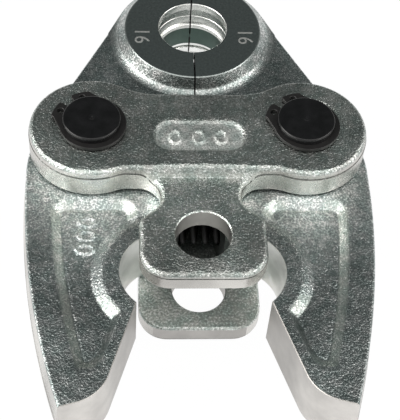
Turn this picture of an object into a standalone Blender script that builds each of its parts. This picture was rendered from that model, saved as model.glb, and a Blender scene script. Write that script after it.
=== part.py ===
"""Jaw of a radial pressing tool: two forged levers on pins between a pair of T-shaped side plates.

Metres, +Z up. The jaw lies flat on the ends of its pins, with the pressing mouth towards +Y and the
drive arms towards -Y. Outlines are drawn on the jaw's middle plane, from the midpoint between the pins.
"""

import math

import bmesh
import bpy
from mathutils import Matrix, Vector

# Side plates
PLATE_GAP = 0.0182
STEM_THICKNESS = 0.0059
CROSSBAR_THICKNESS = 0.0088
EAR_RADIUS = 0.0164
WAIST_DROP_FRONT = 0.0046
WAIST_DROP_REAR = 0.0018
WAIST_BLEND_FRONT = 0.018
WAIST_BLEND_REAR = 0.008
STEM_HALF_WIDTH = 0.0158
STEM_CORNER = 0.0075
NECK_HALF_WIDTH = 0.0103
NECK_LENGTH = 0.0084
NECK_BLEND = 0.0058
NECK_FOOT_BLEND = 0.0042
SHOULDER_DROP = 0.0051
SHOULDER_BLEND = 0.0025
PLATE_EDGE = 0.0014
BOLT_HOLE_RADIUS = 0.007
BOLT_BEHIND_PINS = 0.0329
BOLT_TO_STEM_END = 0.01245
PAD_HALF_LENGTH = 0.0123
PAD_HALF_WIDTH = 0.00545
PAD_END_ROUND = 0.0053
PAD_BEHIND_PINS = 0.0032
PAD_DEPTH = 0.0008
PAD_WALL_RUN = 0.0011

# Pivot pins and their retaining rings
PIN_HALF_SPACING = 0.0278
PIN_RADIUS = 0.0075
PIN_CHAMFER = 0.0006
PIN_CLEARANCE = 0.0001
PIN_PROUD = 0.003
GROOVE_DEPTH = 0.00035
RING_THICKNESS = 0.001
RING_STANDOFF = 0.0002
RING_GROOVE_PLAY = 0.0001
RING_OUTER_RADIUS = 0.0087
RING_OFFSET = 0.0004
RING_GAP_DIRECTION = 131.0
RING_GAP_HALF_ANGLE = 9.5
LUG_END_ANGLE = 34.0
LUG_RADIUS = 0.0107
LUG_HOLE_RADIUS = 0.00085
LUG_HOLE_FROM_TIP = 0.0015
LUG_CORNER = 0.0006

# Jaw levers
LEVER_THICKNESS = 0.017
FORGED_EDGE = 0.00065
FORGED_DRAFT = 0.00075
MOUTH_AHEAD = 0.0416
NOSE_RADIUS = 0.0215
FLANK_FROM_PIN = 0.015
SIDE_FROM_PIN = 0.0164
SHOULDER_ROUND = 0.037
SIDE_KNEE_BEHIND = 0.043
SIDE_CURVE_SHARE = 0.92
TIP_FROM_PIN = 0.0062
TIP_BEHIND = 0.0764
CUSP_BEHIND = 0.0484
CUSP_FROM_CENTRE = 0.0165
CAM_ANGLE = 18.1
CAM_END_ANGLE = 15.4
CAM_END_ROUND = 0.0105
RECESS_RADIUS = 0.0119
RECESS_FROM_CENTRE = 0.0087
RECESS_AHEAD_OF_CUSP = 0.0091
SPLIT_GAP = 0.0003
OPEN_ANGLE = 12.0
RELIEF_MARGIN = 0.6
RELIEF_BEHIND_PINS = 0.001
RELIEF_FOOT_X = 0.0073
CAM_LEAD_IN = 0.0032

# Pressing mouth
BOSS_THICKNESS = 0.0248
BOSS_FACE_RADIUS = 0.0193
BOSS_FLANK_RUN = 0.0029
BORE_RADIUS = 0.00964
BORE_CHAMFER = 0.00035
LAND_LENGTH = 0.0023
GROOVE_STEP = 0.0009
GROOVE_LENGTH = 0.0048
RIB_LENGTH = 0.0022
RIB_DEPTH = 0.0006
THROAT_DROP = 0.0002

# Forged panels in the lever faces
PANEL_DEPTH = 0.0015
PANEL_WALL_RUN = 0.0014
PANEL_FROM_SIDE = 0.007
PANEL_BEHIND_PINS = 0.0185
PANEL_FROM_CAM = 0.0043
PANEL_BAND = 0.0052
PANEL_END_ROUND = 0.0024
PANEL_OUTER_CORNER = 0.003
PANEL_INNER_CORNER = 0.0015
PANEL_END_BEHIND = 0.0655
PANEL_INNER_X = 0.0172
PANEL_BAND_TOP_ANGLE = 60.0

# Closing spring between the arms
SPRING_BEHIND_PINS = 0.019
SPRING_MEAN_RADIUS = 0.0041
SPRING_WIRE_RADIUS = 0.0008
SPRING_POCKET_CLEARANCE = 0.0004
SPRING_END_CLEARANCE = 0.0003
SPRING_POCKET_FLOOR = 0.012
SPRING_TURNS = 8
SPRING_CLOSED_GAP = 0.0002

# How finely round stretches are drawn
ARC_STEPS = 6
LONG_ARC_STEPS = 10
EAR_STEPS = 30
LUG_CORNER_STEPS = 2
EDGE_ANGLES = (0, 45, 90)
MOST_ROUNDED = 0.96
ROUND_SEGMENTS = 32
MOUTH_SEGMENTS = 48
HOLE_SEGMENTS = 12
RING_STEP_ANGLE = 10.0
POINTS_PER_TURN = 14
SMOOTH_ANGLE = math.radians(35)

# Cutters reach this far past the surfaces that they open, and joined shapes this far into each other
OVERCUT = 0.002
BURIED = 0.0003

LEVER_HALF = LEVER_THICKNESS / 2
PLATE_INNER = PLATE_GAP / 2
STEM_OUTER = PLATE_INNER + STEM_THICKNESS
CROSSBAR_OUTER = PLATE_INNER + CROSSBAR_THICKNESS
PIN_HALF = CROSSBAR_OUTER + PIN_PROUD
RING_BASE = CROSSBAR_OUTER + RING_STANDOFF
GROOVE_RADIUS = PIN_RADIUS - GROOVE_DEPTH
FULL_SWELL = FORGED_EDGE + FORGED_DRAFT
NOSE_REACH = MOUTH_AHEAD + NOSE_RADIUS + FULL_SWELL
STEM_END = BOLT_BEHIND_PINS + BOLT_TO_STEM_END
SPLIT_HALF = SPLIT_GAP / 2


def remove_everything():
    for obj in list(bpy.data.objects):
        bpy.data.objects.remove(obj, do_unlink=True)


def polar(radius, degrees):
    angle = math.radians(degrees)
    return (radius * math.cos(angle), radius * math.sin(angle))


def arc(x, y, radius, start, end, steps):
    """Points on an arc about (x, y), from one angle in degrees to another."""
    angles = [start + (end - start) * k / steps for k in range(steps + 1)]
    return [Vector((x, y)) + Vector(polar(radius, angle)) for angle in angles]


def moved_corners(corners, outward):
    """Corners (x, y, radius, forged) of an anticlockwise outline, each forged side moved outward."""
    shifted = []
    for i, (x, y, radius, forged) in enumerate(corners):
        before = corners[i - 1]
        after = corners[(i + 1) % len(corners)]
        arriving = (Vector((x, y)) - Vector(before[:2])).normalized()
        leaving = (Vector(after[:2]) - Vector((x, y))).normalized()
        turn = arriving.cross(leaving)
        shift_in = outward if before[3] else 0
        shift_out = outward if forged else 0
        step = (shift_out * arriving - shift_in * leaving) / turn
        if radius and shift_in and shift_out:
            radius += outward if turn > 0 else -outward
        shifted.append((x + step.x, y + step.y, radius))
    return shifted


def rounded(corners, steps=ARC_STEPS):
    """Outline points from (x, y, radius) corners, each rounded by an arc tangent to its two sides.

    Where two arcs would meet or overlap, both shrink and a short straight stays between them.
    """
    places = [Vector((x, y)) for x, y, radius in corners]
    backs = [places[i - 1] - place for i, place in enumerate(places)]
    aheads = [-backs[(i + 1) % len(backs)] for i in range(len(backs))]
    halves = [back.angle(ahead) / 2 for back, ahead in zip(backs, aheads)]
    reaches = [radius / math.tan(half) for (x, y, radius), half in zip(corners, halves)]
    shares = []
    for i, ahead in enumerate(aheads):
        wanted = reaches[i] + reaches[(i + 1) % len(places)]
        room = MOST_ROUNDED * ahead.length
        shares.append(room / wanted if wanted > room else 1)
    points = []
    for i, place in enumerate(places):
        if not reaches[i]:
            points.append(place)
            continue
        reach = reaches[i] * min(shares[i - 1], shares[i])
        back, ahead = backs[i].normalized(), aheads[i].normalized()
        centre = place + (back + ahead).normalized() * reach / math.cos(halves[i])
        start = place + back * reach - centre
        sweep = (math.pi - 2 * halves[i]) * math.copysign(1, ahead.cross(back))
        for k in range(steps + 1):
            spoke = start.copy()
            spoke.rotate(Matrix.Rotation(sweep * k / steps, 2))
            points.append(centre + spoke)
    return points


def lofted(levels):
    """Closed mesh through (outline, z) levels of equal point counts, from the lowest up."""
    bm = bmesh.new()
    outline, z = levels[0]
    floor = cap = bm.faces.new([bm.verts.new((x, y, z)) for x, y in outline])
    for outline, z in levels[1:]:
        below = cap
        made = bmesh.ops.extrude_face_region(bm, geom=[below])["geom"]
        cap = next(item for item in made if isinstance(item, bmesh.types.BMFace))
        for vertex, (x, y) in zip(cap.verts, outline):
            vertex.co = (x, y, z)
        if below is not floor:
            bmesh.ops.delete(bm, geom=[below], context="FACES_ONLY")
    bmesh.ops.recalc_face_normals(bm, faces=bm.faces)
    return bm


def turned(profile, segments):
    """Closed solid turned about Z from (radius, z) points that start and end on the axis."""
    bm = bmesh.new()
    vertices = [bm.verts.new((radius, 0, z)) for radius, z in profile]
    edges = [bm.edges.new(pair) for pair in zip(vertices, vertices[1:])]
    bmesh.ops.spin(bm, geom=vertices + edges, axis=(0, 0, 1), cent=(0, 0, 0), angle=2 * math.pi,
                   steps=segments, use_merge=True)
    bmesh.ops.remove_doubles(bm, verts=bm.verts, dist=1e-6)
    bmesh.ops.recalc_face_normals(bm, faces=bm.faces)
    return bm


def cylinder(radius, half_length, segments=ROUND_SEGMENTS):
    bm = bmesh.new()
    bmesh.ops.create_cone(bm, cap_ends=True, segments=segments, radius1=radius, radius2=radius,
                          depth=2 * half_length)
    return bm


def block(width, length, height):
    bm = bmesh.new()
    bmesh.ops.create_cube(bm, size=1)
    bmesh.ops.scale(bm, verts=bm.verts, vec=(width, length, height))
    return bm


def moved(bm, x=0.0, y=0.0, z=0.0):
    bmesh.ops.translate(bm, verts=bm.verts, vec=(x, y, z))
    return bm


def mirrored(bm, across):
    """The mesh on the other side of the jaw, across 'x' for a lever or 'z' for a side plate."""
    bmesh.ops.scale(bm, verts=bm.verts, vec=(-1, 1, 1) if across == "x" else (1, 1, -1))
    bmesh.ops.reverse_faces(bm, faces=bm.faces)
    return bm


def both_faces(bm):
    """The mesh and its reflection in the middle plane, as one mesh."""
    copy = bmesh.ops.duplicate(bm, geom=bm.verts[:] + bm.edges[:] + bm.faces[:])["geom"]
    bmesh.ops.scale(bm, verts=[v for v in copy if isinstance(v, bmesh.types.BMVert)], vec=(1, 1, -1))
    bmesh.ops.reverse_faces(bm, faces=[f for f in copy if isinstance(f, bmesh.types.BMFace)])
    return bm


def placed(name, data, pivot=(0, 0, 0)):
    """An object under the jaw's empty, with its origin at the pivot."""
    obj = bpy.data.objects.new(name, data)
    bpy.context.scene.collection.objects.link(obj)
    obj.parent = bpy.data.objects["jaw_centre"]
    obj.location = pivot
    return obj


def piece(name, bm, material, pivot=(0, 0, 0)):
    mesh = bpy.data.meshes.new(name)
    moved(bm, *(-Vector(pivot)))
    bm.to_mesh(mesh)
    bm.free()
    mesh.shade_smooth()
    mesh.set_sharp_from_angle(angle=SMOOTH_ANGLE)
    mesh.materials.append(material)
    return placed(name, mesh, pivot)


def combined(obj, bm, label, operation="DIFFERENCE"):
    """Adds or cuts a helper shape with a Boolean that stays on the object."""
    mesh = bpy.data.meshes.new(f"{obj.name}_{label}")
    bm.to_mesh(mesh)
    bm.free()
    helper = placed(mesh.name, mesh)
    helper.hide_render = True
    helper.display_type = "WIRE"
    modifier = obj.modifiers.new(label, "BOOLEAN")
    modifier.object = helper
    modifier.operation = operation
    modifier.solver = "EXACT"


def metal(name, colour, metallic, roughness):
    material = bpy.data.materials.new(name)
    material.use_nodes = True
    shader = material.node_tree.nodes["Principled BSDF"]
    shader.inputs["Base Color"].default_value = (*colour, 1)
    shader.inputs["Metallic"].default_value = metallic
    shader.inputs["Roughness"].default_value = roughness
    return material


def edged_levels(outline_at, low, high, edge):
    """Levels of a slab whose upper edge is rounded; outline_at takes how far in the outline lies."""
    levels = [(outline_at(0), low)]
    for degrees in EDGE_ANGLES:
        angle = math.radians(degrees)
        levels.append((outline_at(edge * (1 - math.cos(angle))), high - edge * (1 - math.sin(angle))))
    return levels


def crossbar_outline(inset):
    """Dog-bone outline: an ear round each pin, and a waist that blends into the ears."""
    ear = EAR_RADIUS - inset
    blends = []
    for drop, blend in ((WAIST_DROP_FRONT, WAIST_BLEND_FRONT), (WAIST_DROP_REAR, WAIST_BLEND_REAR)):
        rise = EAR_RADIUS - drop + blend
        run = math.sqrt((EAR_RADIUS + blend) ** 2 - rise ** 2)
        blends.append((run, rise, blend + inset, math.degrees(math.atan2(rise, -run))))
    front_run, front_rise, front_blend, front_angle = blends[0]
    rear_run, rear_rise, rear_blend, rear_angle = blends[1]
    half = arc(PIN_HALF_SPACING - rear_run, -rear_rise, rear_blend, 90, 180 - rear_angle, ARC_STEPS)
    half += arc(PIN_HALF_SPACING, 0, ear, -rear_angle, front_angle, EAR_STEPS)
    half += arc(PIN_HALF_SPACING - front_run, front_rise, front_blend, front_angle - 180, -90, ARC_STEPS)
    return half + [Vector((-point.x, point.y)) for point in reversed(half)]


def stem_outline(inset):
    """Stem that hangs from the rear of the crossbar: neck, sloped shoulders and a round-cornered end."""
    waist = EAR_RADIUS - WAIST_DROP_REAR - BURIED
    neck_end = waist + NECK_LENGTH
    root = NECK_HALF_WIDTH + NECK_BLEND + BURIED
    half = [
        (STEM_HALF_WIDTH, -STEM_END, STEM_CORNER),
        (STEM_HALF_WIDTH, -neck_end - SHOULDER_DROP, SHOULDER_BLEND),
        (NECK_HALF_WIDTH, -neck_end, NECK_FOOT_BLEND),
        (NECK_HALF_WIDTH, -waist, NECK_BLEND),
        (root, -waist, 0),
        (root, -PAD_BEHIND_PINS, 0),
    ]
    corners = [(x, y, radius, True) for x, y, radius in half]
    corners += [(-x, y, radius, True) for x, y, radius in reversed(half)]
    return rounded(moved_corners(corners, -inset))


def pad_outline(inset):
    front, rear = PAD_HALF_WIDTH - PAD_BEHIND_PINS, -PAD_HALF_WIDTH - PAD_BEHIND_PINS
    left, right = -PAD_HALF_LENGTH, PAD_HALF_LENGTH
    places = ((left, rear), (right, rear), (right, front), (left, front))
    corners = [(x, y, PAD_END_ROUND, True) for x, y in places]
    return rounded(moved_corners(corners, -inset))


def side_plate(name, material, lower=False):
    """T-shaped forging: a thick crossbar with an ear at each pin, and a thinner bolted stem."""
    def handed(bm):
        return mirrored(bm, "z") if lower else bm

    # Both slabs start below the inner face, and one block cuts them flat together.
    crossbar = lofted(edged_levels(crossbar_outline, PLATE_INNER - BURIED, CROSSBAR_OUTER, PLATE_EDGE))
    plate = piece(name, handed(crossbar), material)
    stem = lofted(edged_levels(stem_outline, PLATE_INNER - 2 * BURIED, STEM_OUTER, PLATE_EDGE))
    combined(plate, handed(stem), "stem", "UNION")
    facing = block(2 * (PIN_HALF_SPACING + EAR_RADIUS), 2 * (STEM_END + OVERCUT), PLATE_GAP)
    combined(plate, handed(facing), "faced_inner_side")
    middle = (PLATE_INNER + CROSSBAR_OUTER) / 2
    reach = CROSSBAR_THICKNESS / 2 + OVERCUT
    bolt_hole = cylinder(BOLT_HOLE_RADIUS, reach)
    combined(plate, handed(moved(bolt_hole, y=-BOLT_BEHIND_PINS, z=middle)), "bolt_hole")
    for side, label in ((-1, "left_pin_hole"), (1, "right_pin_hole")):
        pin_hole = cylinder(PIN_RADIUS + PIN_CLEARANCE, reach)
        combined(plate, handed(moved(pin_hole, x=side * PIN_HALF_SPACING, z=middle)), label)
    slope = PAD_WALL_RUN / PAD_DEPTH
    floor = (pad_outline(PAD_WALL_RUN), CROSSBAR_OUTER - PAD_DEPTH)
    rim = (pad_outline(-slope * BURIED), CROSSBAR_OUTER + BURIED)
    combined(plate, handed(lofted([floor, rim])), "pad")


def flank():
    """The straight front flank as its outward normal and its distance from the midpoint of the pins."""
    mouth_to_pin = Vector((PIN_HALF_SPACING, -MOUTH_AHEAD))
    lean = math.acos((NOSE_RADIUS - FLANK_FROM_PIN) / mouth_to_pin.length)
    angle = math.atan2(mouth_to_pin.y, mouth_to_pin.x) + lean
    normal = Vector((math.cos(angle), math.sin(angle)))
    return normal, normal.x * PIN_HALF_SPACING + FLANK_FROM_PIN


def cam_x(behind):
    """Half the room between the drive cams, at a distance behind the pins."""
    return CUSP_FROM_CENTRE + (behind - CUSP_BEHIND) * math.tan(math.radians(CAM_ANGLE))


def relief_behind(x):
    """How far behind the pins the leaning inner face, which lets the levers open, reaches a given x."""
    return RELIEF_BEHIND_PINS + (x - SPLIT_HALF) / math.tan(math.radians(OPEN_ANGLE + RELIEF_MARGIN))


def side_curve():
    """Centre and radius of the lever's long side, which takes up most of the run from its knee to the tip."""
    run = Vector((SIDE_FROM_PIN - TIP_FROM_PIN, TIP_BEHIND - SIDE_KNEE_BEHIND))
    reach = SIDE_CURVE_SHARE * run.length
    radius = reach / math.tan(math.atan2(run.x, run.y) / 2)
    return Vector((PIN_HALF_SPACING + SIDE_FROM_PIN - radius, reach - SIDE_KNEE_BEHIND)), radius


def lever_corners():
    """Corners of the right lever's outline, anticlockwise from the nose, with its forged sides marked."""
    normal, distance = flank()
    nose_y = MOUTH_AHEAD + NOSE_RADIUS
    side_x = PIN_HALF_SPACING + SIDE_FROM_PIN
    tip_x = PIN_HALF_SPACING + TIP_FROM_PIN
    end_slope = math.tan(math.radians(CAM_END_ANGLE))
    cam_slope = math.tan(math.radians(CAM_ANGLE))
    end_below_tip = TIP_BEHIND - CUSP_BEHIND - end_slope * (tip_x - CUSP_FROM_CENTRE)
    cam_end = CUSP_BEHIND + end_below_tip / (1 - end_slope * cam_slope)
    return [
        ((distance - normal.y * nose_y) / normal.x, nose_y, NOSE_RADIUS, True),
        (-OVERCUT, nose_y, 0, False),
        (-OVERCUT, -relief_behind(-OVERCUT), 0, False),
        (RELIEF_FOOT_X, -relief_behind(RELIEF_FOOT_X), 0, False),
        (cam_x(CUSP_BEHIND - CAM_LEAD_IN), CAM_LEAD_IN - CUSP_BEHIND, 0, False),
        (cam_x(cam_end), -cam_end, CAM_END_ROUND, False),
        (tip_x, -TIP_BEHIND, 0, True),
        (side_x, -SIDE_KNEE_BEHIND, side_curve()[1], True),
        (side_x, (distance - normal.x * side_x) / normal.y, SHOULDER_ROUND, True),
    ]


def lever_outline(swell):
    return rounded(moved_corners(lever_corners(), swell), LONG_ARC_STEPS)


def lever_blank():
    """Forged blank: widest at the parting line on its middle plane, with softly rounded edges."""
    corner = FORGED_EDGE * (1 - math.sqrt(0.5))
    heights = [(0, FULL_SWELL), (LEVER_HALF - FORGED_EDGE, FORGED_EDGE),
               (LEVER_HALF - corner, FORGED_EDGE - corner), (LEVER_HALF, 0)]
    rows = [(-height, swell) for height, swell in reversed(heights[1:])] + heights
    return lofted([(lever_outline(swell), z) for z, swell in rows])


def mouth_boss():
    """Round boss on both faces: its sloped flanks run a little way into the lever, and narrow inside it."""
    half = BOSS_THICKNESS / 2
    foot = LEVER_HALF - BURIED
    foot_radius = BOSS_FACE_RADIUS + BOSS_FLANK_RUN * (half - foot) / (half - LEVER_HALF)
    upper = [(BOSS_FACE_RADIUS, 0), (foot_radius, foot), (BOSS_FACE_RADIUS, half), (0, half)]
    profile = [(radius, -z) for radius, z in reversed(upper[1:])] + upper
    return moved(turned(profile, MOUTH_SEGMENTS), y=MOUTH_AHEAD)


def mouth_bore():
    """Pressing contour: end lands, tapered grooves, a rib and a slightly tighter throat between them."""
    half = BOSS_THICKNESS / 2
    groove = half - LAND_LENGTH
    rib = groove - GROOVE_LENGTH
    throat = rib - RIB_LENGTH
    upper = [
        (BORE_RADIUS - THROAT_DROP, throat),
        (BORE_RADIUS, rib - RIB_LENGTH / 2),
        (BORE_RADIUS + RIB_DEPTH, rib - RIB_LENGTH / 4),
        (BORE_RADIUS + THROAT_DROP, rib),
        (BORE_RADIUS + GROOVE_STEP, groove - BORE_CHAMFER),
        (BORE_RADIUS, groove),
        (BORE_RADIUS, half - BORE_CHAMFER),
        (BORE_RADIUS + BORE_CHAMFER + OVERCUT, half + OVERCUT),
        (0, half + OVERCUT),
    ]
    profile = [(radius, -z) for radius, z in reversed(upper)] + upper
    return moved(turned(profile, MOUTH_SEGMENTS), y=MOUTH_AHEAD)


def band_end_angle(middle, band, from_cam):
    """Angle in degrees about the recess at which the raised band meets the panel's edge along the cam."""
    across = Vector(polar(1, CAM_ANGLE))
    edge = Vector((cam_x(CUSP_BEHIND) + from_cam, -CUSP_BEHIND))
    return CAM_ANGLE - math.degrees(math.acos(across.dot(edge - middle) / band))


def side_arc(inset, start_behind, end_behind):
    """Points that run up the lever's long side, a given distance inside it."""
    middle, radius = side_curve()
    radius -= inset
    ends = [math.degrees(math.asin((-behind - middle.y) / radius)) for behind in (start_behind, end_behind)]
    return arc(*middle, radius, *ends, LONG_ARC_STEPS)


def panel_outline(inset):
    """Forged panel: it follows the lever's side, the cam, and the raised band round the recess."""
    from_cam = PANEL_FROM_CAM / math.cos(math.radians(CAM_ANGLE))
    band = RECESS_RADIUS + PANEL_BAND
    recess = Vector((RECESS_FROM_CENTRE, RECESS_AHEAD_OF_CUSP - CUSP_BEHIND))
    low_angle = band_end_angle(recess, band, from_cam)
    side = side_arc(PANEL_FROM_SIDE, PANEL_END_BEHIND, PANEL_BEHIND_PINS)
    inner = arc(*recess, band, PANEL_BAND_TOP_ANGLE, low_angle, LONG_ARC_STEPS)
    corners = [(cam_x(PANEL_END_BEHIND) + from_cam, -PANEL_END_BEHIND, PANEL_END_ROUND)]
    corners += [(*side[0], PANEL_END_ROUND)]
    corners += [(*point, 0) for point in side[1:-1]]
    corners += [(*side[-1], PANEL_OUTER_CORNER)]
    corners += [(PANEL_INNER_X, -PANEL_BEHIND_PINS, PANEL_INNER_CORNER)]
    corners += [(*point, 0) for point in inner]
    return rounded(moved_corners([(*corner, True) for corner in corners], -inset))


def lever_panels():
    """The panels' cutter: its walls slope, and the panel's outline lies halfway down them."""
    slope = PANEL_WALL_RUN / PANEL_DEPTH
    half_run = PANEL_WALL_RUN / 2
    floor = (panel_outline(half_run), LEVER_HALF - PANEL_DEPTH)
    rim = (panel_outline(-half_run - slope * BURIED), LEVER_HALF + BURIED)
    return both_faces(lofted([floor, rim]))


def halving_block():
    """Everything on the other lever's side of the split."""
    bm = block(2 * NOSE_REACH, 2 * NOSE_REACH, 2 * BOSS_THICKNESS)
    return moved(bm, x=SPLIT_HALF - NOSE_REACH, y=NOSE_REACH - RELIEF_BEHIND_PINS - OVERCUT)


def spring_pocket():
    radius = SPRING_MEAN_RADIUS + SPRING_WIRE_RADIUS + SPRING_POCKET_CLEARANCE
    bm = cylinder(radius, SPRING_POCKET_FLOOR / 2)
    bmesh.ops.rotate(bm, verts=bm.verts, cent=(0, 0, 0), matrix=Matrix.Rotation(math.pi / 2, 3, "Y"))
    return moved(bm, x=SPRING_POCKET_FLOOR / 2, y=-SPRING_BEHIND_PINS)


def jaw_lever(name, material, left=False):
    """One forging: half the mouth at the front, the pin eye, and a drive arm with its cam at the rear."""
    def handed(bm):
        return mirrored(bm, "x") if left else bm

    pivot = (-PIN_HALF_SPACING if left else PIN_HALF_SPACING, 0, 0)
    lever = piece(name, handed(lever_blank()), material, pivot)
    combined(lever, handed(mouth_boss()), "boss", "UNION")
    combined(lever, handed(halving_block()), "split")
    recess = cylinder(RECESS_RADIUS, LEVER_HALF + OVERCUT, MOUTH_SEGMENTS)
    combined(lever, handed(moved(recess, RECESS_FROM_CENTRE, RECESS_AHEAD_OF_CUSP - CUSP_BEHIND)), "recess")
    combined(lever, handed(mouth_bore()), "bore")
    eye = cylinder(PIN_RADIUS + PIN_CLEARANCE, LEVER_HALF + OVERCUT)
    combined(lever, handed(moved(eye, PIN_HALF_SPACING)), "pin_eye")
    combined(lever, handed(spring_pocket()), "spring_pocket")
    combined(lever, handed(lever_panels()), "panels")


def pivot_pin(name, material, side):
    """Headless pin with a retaining-ring groove and a chamfer at each end."""
    groove_low = RING_BASE - RING_GROOVE_PLAY
    groove_high = RING_BASE + RING_THICKNESS + RING_GROOVE_PLAY
    upper = [
        (PIN_RADIUS, groove_low),
        (GROOVE_RADIUS, groove_low),
        (GROOVE_RADIUS, groove_high),
        (PIN_RADIUS, groove_high),
        (PIN_RADIUS, PIN_HALF - PIN_CHAMFER),
        (PIN_RADIUS - PIN_CHAMFER, PIN_HALF),
        (0, PIN_HALF),
    ]
    profile = [(radius, -z) for radius, z in reversed(upper)] + upper
    piece(name, moved(turned(profile, ROUND_SEGMENTS), side * PIN_HALF_SPACING), material,
          (side * PIN_HALF_SPACING, 0, 0))


def ring_outline():
    """Retaining ring with its gap towards +X: widest opposite the gap, with a lug on each side of it."""
    inner = GROOVE_RADIUS + RING_GROOVE_PLAY

    def outer(degrees):
        angle = math.radians(degrees)
        across = math.sqrt(RING_OUTER_RADIUS ** 2 - (RING_OFFSET * math.sin(angle)) ** 2)
        return across - RING_OFFSET * math.cos(angle)

    lug = [
        (*polar(inner, RING_GAP_HALF_ANGLE), 0),
        (*polar(LUG_RADIUS, RING_GAP_HALF_ANGLE), LUG_CORNER),
        (*polar(LUG_RADIUS, LUG_END_ANGLE), LUG_CORNER),
    ]
    sweep = 360 - 2 * LUG_END_ANGLE
    count = round(sweep / RING_STEP_ANGLE)
    angles = [LUG_END_ANGLE + sweep * k / count for k in range(count + 1)]
    back = [(*polar(outer(angle), angle), 0) for angle in angles]
    other_lug = [(x, -y, radius) for x, y, radius in reversed(lug)]
    inner_sweep = 360 - 2 * RING_GAP_HALF_ANGLE
    inner_angles = [360 - RING_GAP_HALF_ANGLE - inner_sweep * k / count for k in range(1, count)]
    bore = [(*polar(inner, angle), 0) for angle in inner_angles]
    return rounded(lug + back + other_lug + bore, LUG_CORNER_STEPS)


def retaining_ring(name, material, side, lower=False):
    outline = ring_outline()
    ring = lofted([(outline, RING_BASE), (outline, RING_BASE + RING_THICKNESS)])
    turn = Matrix.Rotation(math.radians(RING_GAP_DIRECTION), 3, "Z")
    pivot = (side * PIN_HALF_SPACING, 0, 0)

    def seated(bm):
        bmesh.ops.rotate(bm, verts=bm.verts, cent=(0, 0, 0), matrix=turn)
        moved(bm, *pivot)
        return mirrored(bm, "z") if lower else bm

    clip = piece(name, seated(ring), material, pivot)
    for label, across in (("first_hole", 1), ("second_hole", -1)):
        hole = cylinder(LUG_HOLE_RADIUS, OVERCUT, HOLE_SEGMENTS)
        middle = across * (RING_GAP_HALF_ANGLE + LUG_END_ANGLE) / 2
        x, y = polar(LUG_RADIUS - LUG_HOLE_FROM_TIP, middle)
        combined(clip, seated(moved(hole, x, y, RING_BASE + RING_THICKNESS / 2)), label)


def closing_spring(name, material):
    """Compression spring along X, with one closed turn at each end, seated in both levers' pockets."""
    half = SPRING_POCKET_FLOOR - SPRING_END_CLEARANCE - SPRING_WIRE_RADIUS
    closed = 2 * SPRING_WIRE_RADIUS + SPRING_CLOSED_GAP
    active = (2 * half - 2 * closed) / (SPRING_TURNS - 2)
    curve = bpy.data.curves.new(name, "CURVE")
    curve.dimensions = "3D"
    curve.bevel_depth = SPRING_WIRE_RADIUS
    curve.bevel_resolution = 1
    curve.use_fill_caps = True
    spline = curve.splines.new("POLY")
    count = SPRING_TURNS * POINTS_PER_TURN
    spline.points.add(count)
    for k, point in enumerate(spline.points):
        turn = k / POINTS_PER_TURN
        along = min(turn, 1) * closed + min(max(turn - 1, 0), SPRING_TURNS - 2) * active
        along += max(turn - SPRING_TURNS + 1, 0) * closed - half
        y, z = polar(SPRING_MEAN_RADIUS, 360 * turn)
        point.co = (along, y, z, 1)
    curve.materials.append(material)
    placed(name, curve, (0, -SPRING_BEHIND_PINS, 0))


remove_everything()
tip_reach = -min(point.y for point in lever_outline(FULL_SWELL))
jaw_centre = bpy.data.objects.new("jaw_centre", None)
bpy.context.scene.collection.objects.link(jaw_centre)
jaw_centre.location = (0, (tip_reach - NOSE_REACH) / 2, PIN_HALF)

plate_zinc = metal("zinc_plated_side_plate", (0.42, 0.44, 0.42), 1.0, 0.42)
lever_zinc = metal("zinc_plated_lever", (0.46, 0.48, 0.46), 1.0, 0.38)
pin_black = metal("blackened_pin_steel", (0.02, 0.02, 0.022), 0.6, 0.35)
ring_black = metal("blackened_ring_steel", (0.03, 0.03, 0.032), 0.6, 0.45)
spring_steel = metal("spring_steel", (0.3, 0.3, 0.31), 1.0, 0.3)

side_plate("upper_side_plate", plate_zinc)
side_plate("lower_side_plate", plate_zinc, lower=True)
jaw_lever("right_jaw_lever", lever_zinc)
jaw_lever("left_jaw_lever", lever_zinc, left=True)
for hand, across in (("left", -1), ("right", 1)):
    pivot_pin(f"{hand}_pivot_pin", pin_black, across)
    retaining_ring(f"{hand}_upper_retaining_ring", ring_black, across)
    retaining_ring(f"{hand}_lower_retaining_ring", ring_black, across, lower=True)
closing_spring("closing_spring", spring_steel)
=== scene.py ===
import math

import bmesh
import bpy
from mathutils import Matrix, Vector


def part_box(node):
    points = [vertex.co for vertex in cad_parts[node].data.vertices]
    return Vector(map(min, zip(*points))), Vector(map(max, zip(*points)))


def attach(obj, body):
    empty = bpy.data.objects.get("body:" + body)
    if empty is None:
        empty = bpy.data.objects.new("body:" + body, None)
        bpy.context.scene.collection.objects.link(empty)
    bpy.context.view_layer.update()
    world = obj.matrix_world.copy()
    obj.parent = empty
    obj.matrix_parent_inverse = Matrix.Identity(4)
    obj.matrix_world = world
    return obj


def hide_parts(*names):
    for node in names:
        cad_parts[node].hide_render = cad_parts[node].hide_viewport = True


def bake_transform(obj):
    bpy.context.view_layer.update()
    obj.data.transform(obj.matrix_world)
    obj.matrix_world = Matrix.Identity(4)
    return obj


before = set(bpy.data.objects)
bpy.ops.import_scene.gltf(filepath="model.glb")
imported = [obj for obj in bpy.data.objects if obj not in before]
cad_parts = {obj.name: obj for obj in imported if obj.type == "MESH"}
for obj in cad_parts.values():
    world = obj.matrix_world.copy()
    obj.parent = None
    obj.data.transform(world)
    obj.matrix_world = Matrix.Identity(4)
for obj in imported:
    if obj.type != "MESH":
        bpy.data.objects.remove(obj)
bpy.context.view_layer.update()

# Camera and studio
# The jaw lies on its pin ends on a white table, seen from behind the drive arms and well above it.
# Large soft lamps stand above it, beside it and at the near corners, between pale walls and a dark ceiling.
MM = 0.001
pin_low, pin_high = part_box("left_pivot_pin")
PIN_LINE_Y = (pin_low.y + pin_high.y) / 2
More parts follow.
